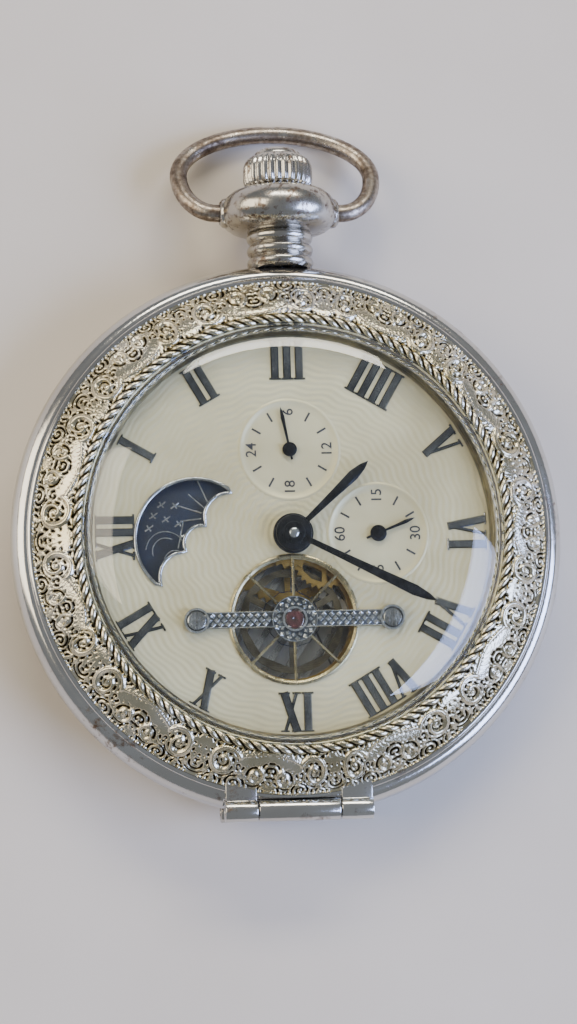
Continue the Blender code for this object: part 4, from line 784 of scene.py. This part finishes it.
def bowRoute():
    # the same route as the wire's: along the pivot, round the shoulder and up to the crest
    rise = bow["crest"] - bow["middle"]
    turn = bow["halfWidth"] - bow["endX"]
    half = [(bow["tipX"], 0.0), (4.5, 0.0), (5.1, 0.0)]
    for i in range(13):
        angle = math.radians(90 - 7.5 * i)
        half.append((bow["endX"] + turn * math.cos(angle), bow["middle"] * (1 - math.sin(angle))))
    for i in range(1, 21):
        angle = math.radians(90 * i / 20)
        half.append((bow["halfWidth"] * math.cos(angle), bow["middle"] + rise * math.sin(angle)))
    return half + [(-x, y) for x, y in reversed(half[:-1])]


crestDrop = stemHeight - bow["wire"] - 0.02
bowTilt = -math.asin(crestDrop / bow["crest"])
bowPlace = Matrix.Translation(Vector((0, bow["pivotY"], stemHeight)) * mm) @ Matrix.Rotation(bowTilt, 4, "X")


def wireShare(x, y):
    # the ends are turned down a little where they enter the pendant
    return bow["thinEnd"] if abs(x) < 5.0 and y < 1.0 else 1.0


bowPoints = [(x, y, 0, wireShare(x, y)) for x, y in bowRoute()]
bowShape = tube(bowPoints, bow["wire"], resolution=7, place=bowPlace)
finishPiece(bowShape, "bowWire", bowBronze, "bow", ["bow"], sharpAngle=50)

# Dial
print("Engine-turning the dial")
dial = {"top": 7.5, "reach": 17.05, "bore": 0.95, "pitch": 0.53, "depth": 0.036,
        "scallops": 24, "scallop": 0.15}
subdials = {"day": (0.0, 7.2), "seconds": (7.3, 0.0)}
subdial = {"radius": 4.15, "line": 0.13}
balanceAt = (0.0, -7.1)
windowHole = 5.1
moonAt = (-8.062, -0.2)
moonSlant = 52


def sunMoonOutline():
    # half a disc whose straight side is three scallops
    points = arcPoints(5.05, 0, 180, 40)[1:-1] + arcPoints(2.1, 147, 60, 10, (-3.1, -1.2))
    points += arcPoints(1.5, 154, 26, 10, (0, -0.65)) + arcPoints(2.1, 120, 33, 10, (3.1, -1.2))
    slant = Matrix.Rotation(math.radians(moonSlant), 2)
    turned = [slant @ Vector(p) for p in points]
    return [(p.x + moonAt[0], p.y + moonAt[1]) for p in turned]


def insideOutline(x, y, outline):
    inside = np.zeros(x.shape, bool)
    for (x0, y0), (x1, y1) in zip(outline, outline[1:] + outline[:1]):
        crosses = (y0 > y) != (y1 > y)
        reach = (x1 - x0) * (y - y0) / ((y1 - y0) or 1e-9) + x0
        inside ^= crosses & (x < reach)
    return inside


def guilloche(turnShare, acrossShare):
    # rings that ripple as they go round, as a rose engine cuts them
    angle = turnShare * 2 * math.pi
    radius = dial["bore"] + (dial["reach"] - dial["bore"]) * acrossShare
    sway = dial["scallop"] * np.sin(dial["scallops"] * angle + radius * 0.9) * np.clip(radius / 9, 0, 1)
    wave = np.cos((radius + sway) * 2 * math.pi / dial["pitch"])
    height = dial["top"] + 0.02 + dial["depth"] / 2 * wave
    return radius * np.cos(angle), radius * np.sin(angle), height


dialShape = bentGrid(560, 152, guilloche)
middles = np.array([face.calc_center_median() for face in dialShape.faces]) / mm
x, y = middles[:, 0], middles[:, 1]
cutOut = insideOutline(x, y, sunMoonOutline()) | (np.hypot(x - balanceAt[0], y - balanceAt[1]) < windowHole)
for centre in subdials.values():
    cutOut |= np.hypot(x - centre[0], y - centre[1]) < subdial["radius"] - 0.05
dropped = [face for face, gone in zip(list(dialShape.faces), cutOut) if gone]
bmesh.ops.delete(dialShape, geom=dropped, context="FACES")
rims = [edge for edge in dialShape.edges if edge.is_boundary]
skirt = bmesh.ops.extrude_edge_only(dialShape, edges=rims)["geom"]
lowered = [item for item in skirt if isinstance(item, bmesh.types.BMVert)]
bmesh.ops.translate(dialShape, verts=lowered, vec=(0, 0, -0.08 * mm))
finishPiece(dialShape, "dialGuilloche", dialFinish, "case", sharpAngle=70)

for label, centre in subdials.items():
    radius, line, top = subdial["radius"], subdial["line"], dial["top"]
    profile = [(0.5, top - 0.03), (0.5, top + 0.01)]
    for i in range(1, 9):                                # four faint rings turned in the sunk field
        profile.append((radius * (0.2 + 0.08 * i), top + 0.01 + 0.012 * (i % 2)))
    profile += [(radius - line, top + 0.01), (radius - line * 0.5, top + 0.055),
                (radius + line, top + 0.055), (radius + line * 1.6, top), (radius + line, top - 0.03)]
    finishPiece(spun(profile, steps=120, centre=(*centre, 0)), f"{label}Subdial", dialFinish, "case",
                sharpAngle=60)


print("Setting the numerals")
numerals = {"inner": 13.15, "outer": 16.6, "height": 0.2, "thick": 0.68, "thinStroke": 0.28, "serif": 0.17}
romanNumerals = ["I", "II", "III", "IIII", "V", "VI", "VII", "VIII", "IX", "X", "XI", "XII"]
letterWidth = {"I": 1.03, "V": 2.05, "X": 1.85}


def stroke(shape, start, end, width, top, low=None, chamfer=0.1):
    # a bevelled bar between two points of the flat, as a numeral or a marker is made
    low = dial["top"] + 0.02 if low is None else low
    line = Vector(end) - Vector(start)
    bar = bmesh.new()
    bmesh.ops.create_cube(bar, size=mm)
    bmesh.ops.scale(bar, verts=bar.verts, vec=(line.length, width, top - low))
    crest = [edge for edge in bar.edges if all(v.co.z > 0 for v in edge.verts)]
    bmesh.ops.bevel(bar, geom=crest, offset=min(chamfer, width * 0.4) * mm, segments=1, profile=0.5,
                    affect="EDGES", material=-1, clamp_overlap=True)
    bmesh.ops.rotate(bar, verts=bar.verts, matrix=Matrix.Rotation(math.atan2(line.y, line.x), 3, "Z"))
    middle = (Vector(start) + Vector(end)) / 2
    bmesh.ops.translate(bar, verts=bar.verts, vec=Vector((middle.x, middle.y, (top + low) / 2)) * mm)
    return addInto(shape, bar)


def letterStrokes(letter, left):
    # (start, end, width) in the numeral's own flat, feet on y = 0
    tall = numerals["outer"] - numerals["inner"]
    wide, serif = letterWidth[letter], numerals["serif"]
    thick, thin = numerals["thick"], numerals["thinStroke"]
    middle = left + wide / 2

    def feet(x, y, reach):
        return (x - reach, y), (x + reach, y), serif

    foot, head = serif / 2, tall - serif / 2
    if letter == "I":
        return [((middle, 0), (middle, tall), thick), feet(middle, foot, 0.5), feet(middle, head, 0.5)]
    if letter == "V":
        return [((left + 0.4, tall), (middle, 0.1), thick),
                ((left + wide - 0.35, tall), (middle, 0.1), thin),
                feet(left + 0.4, head, 0.5), feet(left + wide - 0.3, head, 0.36)]
    return [((left + 0.4, tall), (left + wide - 0.4, 0), thick),
            ((left + wide - 0.4, tall), (left + 0.4, 0), thin),
            feet(left + 0.4, head, 0.48), feet(left + wide - 0.4, head, 0.36), feet(left + 0.4, foot, 0.36),
            feet(left + wide - 0.4, foot, 0.48)]


for hour, letters in enumerate(romanNumerals, 1):
    direction = math.radians(180 - 30 * hour)
    outward = Vector((math.cos(direction), math.sin(direction)))
    along = Vector((outward.y, -outward.x))
    total = sum(letterWidth[letter] for letter in letters)
    shape, left = bmesh.new(), -total / 2
    for letter in letters:
        for start, end, width in letterStrokes(letter, left):
            ends = [along * x + outward * (numerals["inner"] + y) for x, y in (start, end)]
            lift = 0.02 if width == numerals["serif"] else (0.01 if width == numerals["thinStroke"] else 0.0)
            stroke(shape, ends[0], ends[1], width, dial["top"] + numerals["height"] - lift)
        left += letterWidth[letter]
    finishPiece(shape, f"numeral{hour:02d}", numeralSteel, "case", sharpAngle=20)


def printFigures(words, centre, size, turn, into):
    # figures are made a mesh first, then turned and put in place
    data = bpy.data.curves.new("figures", "FONT")
    data.body = words
    data.size = size * mm
    data.align_x = "CENTER"
    data.align_y = "CENTER"
    data.extrude = 0.006 * mm
    data.offset = 0.012 * mm
    spot = Matrix.Translation(Vector((*centre, dial["top"] + 0.034)) * mm)
    spot = spot @ Matrix.Rotation(math.radians(turn), 4, "Z")
    return curveShape(data, Matrix.Identity(4), into, spot)


# figures stand upright for someone who holds the twelve at the top, which is on the left here
subdialFigures = {"day": ["24", "6", "12", "18"], "seconds": ["60", "15", "30", "45"]}
for label, figures in subdialFigures.items():
    centre = subdials[label]
    shape = bmesh.new()
    for quarter, figure in enumerate(figures):
        printFigures(figure, polar(3.2, 180 - 90 * quarter, centre), 1.25, 90, shape)
        for third in (1, 2):
            angle = 180 - 90 * quarter - 30 * third
            stroke(shape, polar(2.75, angle, centre), polar(3.6, angle, centre), 0.17, dial["top"] + 0.04,
                   dial["top"], chamfer=0.01)
    finishPiece(shape, f"{label}Figures", ink, "case")


print("Painting the sun and moon disc")
outline = sunMoonOutline()
frameTube = tube([(x, y, dial["top"] + 0.07) for x, y in outline], 0.17, cyclic=True, resolution=3)
finishPiece(frameTube, "sunMoonFrame", numeralSilver, "case", sharpAngle=60)
moonDisc = {"low": 6.9, "top": 6.98, "radius": 5.2, "sun": (2.5, 48), "moon": (2.66, 201)}
discTop = moonDisc["top"]
discShape = spun([(0, moonDisc["low"]), (moonDisc["radius"], moonDisc["low"]), (moonDisc["radius"], discTop),
                  (0, discTop)], steps=90, closed=False, soften=0.02, centre=(*moonAt, 0))
finishPiece(discShape, "sunMoonDisc", nightBlue, "sun_moon")
artShape = bmesh.new()
for side in (0, 180):                                    # the disc turns once in a day: both halves are drawn
    sun = polar(moonDisc["sun"][0], moonDisc["sun"][1] + side, moonAt)
    moon = polar(moonDisc["moon"][0], moonDisc["moon"][1] + side, moonAt)
    tube([(*p, discTop) for p in arcPoints(0.95, 0, 360, 30, sun)[:-1]], 0.07, cyclic=True, resolution=1,
         into=artShape)
    for i in range(7):
        ray = moonDisc["sun"][1] + side + 66 + 24 * i
        ends = [polar(reach, ray, sun) for reach in (1.15, 3.4 - 0.5 * (i % 2))]
        stroke(artShape, *ends, 0.12, discTop + 0.05, discTop - 0.02, chamfer=0.03)
    for radius, start, end in ((1.65, 20, 175), (1.1, 60, 200)):
        bend = arcPoints(radius, start + side, end + side, 18, moon)
        tube([(*p, discTop) for p in bend], 0.065, resolution=1, into=artShape)
    for distance, bearing in ((4.04, 133), (4.0, 149.5), (2.95, 144), (1.9, 135), (3.95, 165.6), (3.3, 120)):
        star = polar(distance, bearing + side, moonAt)
        for tilt, reach in ((35, 0.42), (125, 0.3)):
            stroke(artShape, polar(reach, tilt, star), polar(reach, tilt + 180, star), 0.13, discTop + 0.05,
                   discTop - 0.02, chamfer=0.035)
finishPiece(artShape, "sunMoonDrawing", filigreeSilver, "sun_moon")

# Balance window, engraved bridge and hands
print("Fitting the balance window and its bridge")
window = {"outer": 5.48, "inner": 5.1, "low": 7.53, "top": 7.73, "spokes": 8, "spoke": 0.22, "hub": 1.1}
shape = spun([(window["inner"], window["low"]), (window["outer"], window["low"]),
              (window["outer"], window["top"] - 0.06), (window["outer"] - 0.1, window["top"]),
              (window["inner"] + 0.16, window["top"]), (window["inner"], window["top"] - 0.08)],
             steps=120, centre=(*balanceAt, 0))
spun([(0.82, window["low"]), (window["hub"], window["low"]), (window["hub"], window["top"] - 0.02),
      (0.82, window["top"] - 0.02)], steps=40, centre=(*balanceAt, 0), into=shape)
for i in range(window["spokes"]):
    angle = 360 / window["spokes"] * i
    spokeEnds = [polar(reach, angle, balanceAt) for reach in (1.0, window["inner"] + 0.1)]
    stroke(shape, *spokeEnds, window["spoke"], window["top"] - 0.03, window["low"] + 0.02, chamfer=0.05)
finishPiece(shape, "balanceWindowRing", windowGilt, "case", ["balance_window_ring"])

bridge = {"reach": 8.2, "half": 0.68, "low": 7.79, "top": 8.0, "hub": 1.92, "pad": 1.08,
          "pitch": 0.62, "stud": 0.14}


def stud(shape, x, y, size, turn=0.0, level=None):
    # one four-sided point of the hobnail pattern
    level = bridge["top"] if level is None else level
    point = bmesh.new()
    bmesh.ops.create_cone(point, cap_ends=True, segments=4, radius1=size * mm, radius2=size * 0.16 * mm,
                          depth=bridge["stud"] * mm)
    bmesh.ops.rotate(point, verts=point.verts, matrix=Matrix.Rotation(math.radians(turn), 3, "Z"))
    spot = Vector((balanceAt[0] + x, balanceAt[1] + y, level + bridge["stud"] / 2 - 0.01)) * mm
    bmesh.ops.translate(point, verts=point.verts, vec=spot)
    return addInto(shape, point)


bar = bmesh.new()
bmesh.ops.create_cube(bar, size=mm)
barSize = (2 * bridge["reach"], 2 * bridge["half"], bridge["top"] - bridge["low"])
bmesh.ops.scale(bar, verts=bar.verts, vec=barSize)
softenEdges(bar, 0.05)
bmesh.ops.translate(bar, verts=bar.verts, vec=Vector((*balanceAt, (bridge["top"] + bridge["low"]) / 2)) * mm)
# the raised borders, studs and rings get the bright silver, while the bar under them is painted dark as the
# shade between them
bright = bmesh.new()
for side in (-1, 1):                                     # raised borders along the bar
    borderX, borderY = bridge["reach"] - 0.9, balanceAt[1] + side * (bridge["half"] - 0.05)
    stroke(bright, (-borderX, borderY), (borderX, borderY), 0.12, bridge["top"] + 0.08, bridge["low"],
           chamfer=0.04)
count = int((bridge["reach"] - 1.2 - bridge["hub"]) / bridge["pitch"])
for side in (-1, 1):
    for i in range(count + 1):
        x = side * (bridge["hub"] + 0.25 + bridge["pitch"] * i)
        stud(bright, x, 0.0, 0.28)
        for row in (-1, 1):
            stud(bright, x + side * bridge["pitch"] / 2, row * 0.34, 0.26)
hubProfile = [(0.84, bridge["low"]), (bridge["hub"], bridge["low"]), (bridge["hub"], bridge["top"] + 0.04),
              (0.84, bridge["top"] + 0.04)]
spun(hubProfile, steps=72, centre=(*balanceAt, 0), into=bar)
for inner, outer, height in ((0.84, 1.08, 0.17), (bridge["hub"] - 0.12, bridge["hub"] + 0.01, 0.1)):
    ring = [(inner, bridge["top"]), (outer, bridge["top"]), (outer - 0.03, bridge["top"] + height),
            (inner + 0.03, bridge["top"] + height)]
    spun(ring, steps=72, centre=(*balanceAt, 0), into=bright)
for i in range(15):
    stud(bright, *polar(1.32, 24 * i), 0.22, 24 * i, bridge["top"] + 0.04)
    stud(bright, *polar(1.62, 24 * i + 12), 0.24, 24 * i + 12, bridge["top"] + 0.04)
for side in (-1, 1):
    centre = (side * bridge["reach"], balanceAt[1], 0)
    spun([(0.5, 7.54), (bridge["pad"] - 0.02, 7.54), (bridge["pad"] - 0.02, bridge["top"] + 0.02),
          (0.5, bridge["top"] + 0.02)], steps=60, centre=centre, into=bar)
    spun([(0.84, bridge["top"]), (bridge["pad"], bridge["top"]), (bridge["pad"] - 0.03, bridge["top"] + 0.2),
          (0.88, bridge["top"] + 0.2)], steps=60, centre=centre, into=bright)
# the bar is painted dark as the shade between the studs; the raised parts stay bright
finishPiece(bar, "engravedBridge", shadedBridgeSilver, "case", ["balance_bridge"],
            sharpAngle=25)
finishPiece(bright, "bridgeHobnails", filigreeSilver, "case", sharpAngle=25)

for side, label in ((-1, "left"), (1, "right")):
    # flat head with its slot along Y; the shank runs down to the main plate
    level = bridge["top"] + 0.03
    centre = (side * bridge["reach"], balanceAt[1], 0)
    head = spun([(0, 5.6), (0.36, 5.6), (0.36, level), (0.74, level), (0.76, level + 0.16),
                 (0.68, level + 0.22), (0, level + 0.23)], steps=48, closed=False, centre=centre)
    slot = bmesh.new()
    bmesh.ops.create_cube(slot, size=mm)
    bmesh.ops.scale(slot, verts=slot.verts, vec=(0.17, 2.0, 0.3))
    bmesh.ops.translate(slot, verts=slot.verts, vec=Vector((*centre[:2], level + 0.24)) * mm)
    finishPiece(carve(head, slot), f"bridgeScrew{label.title()}", steel, "case",
                [f"balance_bridge_screw_{label}"])

jewelTop = bridge["top"] + 0.12
jewel = spun([(0, 7.85), (0.78, 7.85), (0.8, jewelTop - 0.08), (0.6, jewelTop), (0.2, jewelTop - 0.03),
              (0.09, jewelTop - 0.09), (0, jewelTop - 0.1)], steps=48, closed=False, centre=(*balanceAt, 0))
finishPiece(jewel, "balanceJewelStone", stone, "case", ["balance_jewel"])

print("Cutting the hands")
centreAt = (0.0, 0.0)
hands = {
    "hour": {"body": "hour", "at": centreAt, "turn": 42.8, "length": 8.9, "level": (8.5, 8.72),
             "hub": 1.7, "neck": 0.24, "belly": 0.47, "bellyAt": 0.8, "bore": 0.8, "tail": 0.0},
    "minute": {"body": "minute", "at": centreAt, "turn": -26.4, "length": 13.3, "level": (9.0, 9.22),
               "hub": 1.5, "neck": 0.24, "belly": 0.47, "bellyAt": 0.84, "bore": 0.5, "tail": 0.0},
    "day": {"body": "day", "at": subdials["day"], "turn": 101.0, "length": 3.7, "level": (7.75, 7.9),
            "hub": 0.62, "neck": 0.1, "belly": 0.17, "bellyAt": 0.75, "bore": 0.22, "tail": 0.9},
    "seconds": {"body": "seconds", "at": subdials["seconds"], "turn": 22.0, "length": 3.4,
                "level": (7.75, 7.9), "hub": 0.7, "neck": 0.1, "belly": 0.17, "bellyAt": 0.75,
                "bore": 0.22, "tail": 1.1},
}


def handOutline(hand):
    # a leaf that widens from its hub and ends in a point, along +X
    hub, neck, belly, length = hand["hub"], hand["neck"], hand["belly"], hand["length"]
    start = math.degrees(math.asin(neck / hub))
    upper = [(length * 0.3, neck * 0.85 + belly * 0.15), (length * 0.55, neck * 0.5 + belly * 0.5),
             (length * hand["bellyAt"], belly), (length * (hand["bellyAt"] * 0.4 + 0.6), belly * 0.62)]
    points = [(length, 0.0)] + upper[::-1]
    if hand["tail"]:
        points += arcPoints(hub, start, 180 - start, 20)
        points += [(-hand["tail"], neck), (-hand["tail"], -neck)]
        points += arcPoints(hub, 180 + start, 360 - start, 20)
    else:
        points += arcPoints(hub, start, 360 - start, 48)
    return points + [(x, -y) for x, y in upper]


for label, hand in hands.items():
    low, high = hand["level"]
    spot = Matrix.Translation(Vector((*hand["at"], 0)) * mm)
    spot = spot @ Matrix.Rotation(math.radians(hand["turn"]), 4, "Z")
    outlines = [handOutline(hand), arcPoints(hand["bore"] + 0.02, 0, 360, 30)[:-1]]
    shape = plate(outlines, low, high, bevel=0.05, place=spot)
    if label in ("day", "seconds"):                      # a cap closes the bore of the small hands
        cap = [(0, high - 0.02), (0.42, high - 0.02), (0.38, high + 0.04), (0.15, high + 0.06),
               (0, high + 0.06)]
        spun(cap, steps=32, closed=False, centre=(*hand["at"], 0), into=shape)
    finishPiece(shape, f"{label}HandBlade", blackSteel, hand["body"], [f"{label}_hand"])

# a turned collar and a pin end stand up through the middle of the minute hand
collar = spun([(0.4, 9.18), (0.95, 9.18), (0.92, 9.26), (0.7, 9.31), (0.44, 9.3)], steps=48)
finishPiece(collar, "minuteHandCollar", blackSteel, "minute", sharpAngle=25)
pinEnd = spun([(0, 9.1), (0.37, 9.1), (0.37, 9.3), (0.24, 9.36), (0, 9.37)], steps=32, closed=False)
finishPiece(pinEnd, "minuteHandPin", numeralSilver, "minute")

# Every CAD node that still shows gets its finish
print("Finishing the movement")
nodeFinish = {
    ("steel", steel): ["front_hinge_pin", "back_hinge_pin", "winding_stem", "winding_pinion", "crown_wheel",
                       "winding_transfer_wheel", "ratchet_wheel", "click", "escape_wheel", "pallet_fork",
                       "barrel_arbor", "cannon_pinion"],
    ("blued_steel", bluedSteel): ["click_spring", "click_screw", "crown_wheel_screw", "ratchet_screw",
                                  "hairspring", "mainspring"] + [f"bridge_screw_{i}" for i in range(1, 7)],
    ("silver_bridges", bridgeNickel): ["barrel_bridge", "train_bridge", "balance_rear_bridge",
                                       "pallet_bridge"],
    ("brass", plateBrass): ["main_plate", "movement_ring", "mainspring_barrel", "barrel_cover"],
    ("gilt", wheelGilt): ["centre_wheel", "third_wheel", "fourth_wheel", "minute_wheel", "hour_wheel",
                          "day_idler_wheel", "day_wheel", "sun_moon_wheel"],
    # the balance wheel's dark brass is painted shade for the inside of the window
    ("brass", shadedBalanceBrass): ["balance_wheel"],
    ("dial_silver", dialFinish): ["dial"],
}
for (slotName, finish), names in nodeFinish.items():
    for name in names:
        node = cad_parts[name]
        node.data.materials.clear()
        node.data.materials.append(finish)


# Floor, lights and camera
print("Setting up the stage")
view = {"aim": (-0.2, 1.95, 7.5), "leanX": -7.0, "leanY": -7.0, "roll": 1.7, "distance": 211.8, "lens": 88.5}
floorSize = 4.0

floorMaterial, tree, shader, place = newMaterial("paleTable", Roughness=0.55)
tableTone = ramp(tree, grain(tree, place, 30, 4), [(0.3, "#d6ccbf"), (0.7, "#ded5c9")])
tree.links.new(tableTone, shader.inputs["Base Color"])
floorShape = bmesh.new()
bmesh.ops.create_grid(floorShape, x_segments=1, y_segments=1, size=floorSize / 2)
floorMesh = bpy.data.meshes.new("tableTop")
floorShape.to_mesh(floorMesh)
floorShape.free()
floorMesh.materials.append(floorMaterial)
floor = bpy.data.objects.new("tableTop", floorMesh)
bpy.context.scene.collection.objects.link(floor)

world = bpy.data.worlds.new("studio")
world.use_nodes = True
world.node_tree.nodes["Background"].inputs["Color"].default_value = linearColour("#dfe4ea")
world.node_tree.nodes["Background"].inputs["Strength"].default_value = 0.34
bpy.context.scene.world = world


def softbox(name, place, target, width, height, power, colour):
    lamp = bpy.data.lights.new(name, "AREA")
    lamp.shape = "RECTANGLE"
    lamp.size = width
    lamp.size_y = height
    lamp.energy = power
    lamp.color = linearColour(colour)[:3]
    item = bpy.data.objects.new(name, lamp)
    item.location = place
    item.rotation_euler = (Vector(target) - Vector(place)).to_track_quat("-Z", "Y").to_euler()
    bpy.context.scene.collection.objects.link(item)


softbox("windowRight", (0.4, -0.14, 0.3), (0, 0, 0), 0.36, 0.34, 4.4, "#b4c8ff")
softbox("fillLeft", (-0.5, 0.12, 0.34), (0, 0, 0), 0.4, 0.6, 3.0, "#fff0d6")
softbox("topStrip", (0.05, 0.5, 0.42), (0, 0, 0), 0.5, 0.12, 2.6, "#fff8ea")

lean = Vector((math.sin(math.radians(view["leanX"])), math.sin(math.radians(view["leanY"])), 0))
lean.z = math.sqrt(1 - lean.x**2 - lean.y**2)
camera = bpy.data.cameras.new("camera")
camera.lens = view["lens"]
camera.sensor_width = 36
cameraItem = bpy.data.objects.new("camera", camera)
backward = lean.normalized()
up = Matrix.Rotation(math.radians(-view["roll"]), 3, "Z") @ Vector((0, 1, 0))
right = up.cross(backward).normalized()
up = backward.cross(right)
turn = Matrix((right, up, backward)).transposed().to_4x4()
cameraItem.matrix_world = Matrix.Translation((Vector(view["aim"]) + backward * view["distance"]) * mm) @ turn
camera.clip_start = 0.01
camera.clip_end = 20
bpy.context.scene.collection.objects.link(cameraItem)
bpy.context.scene.camera = cameraItem
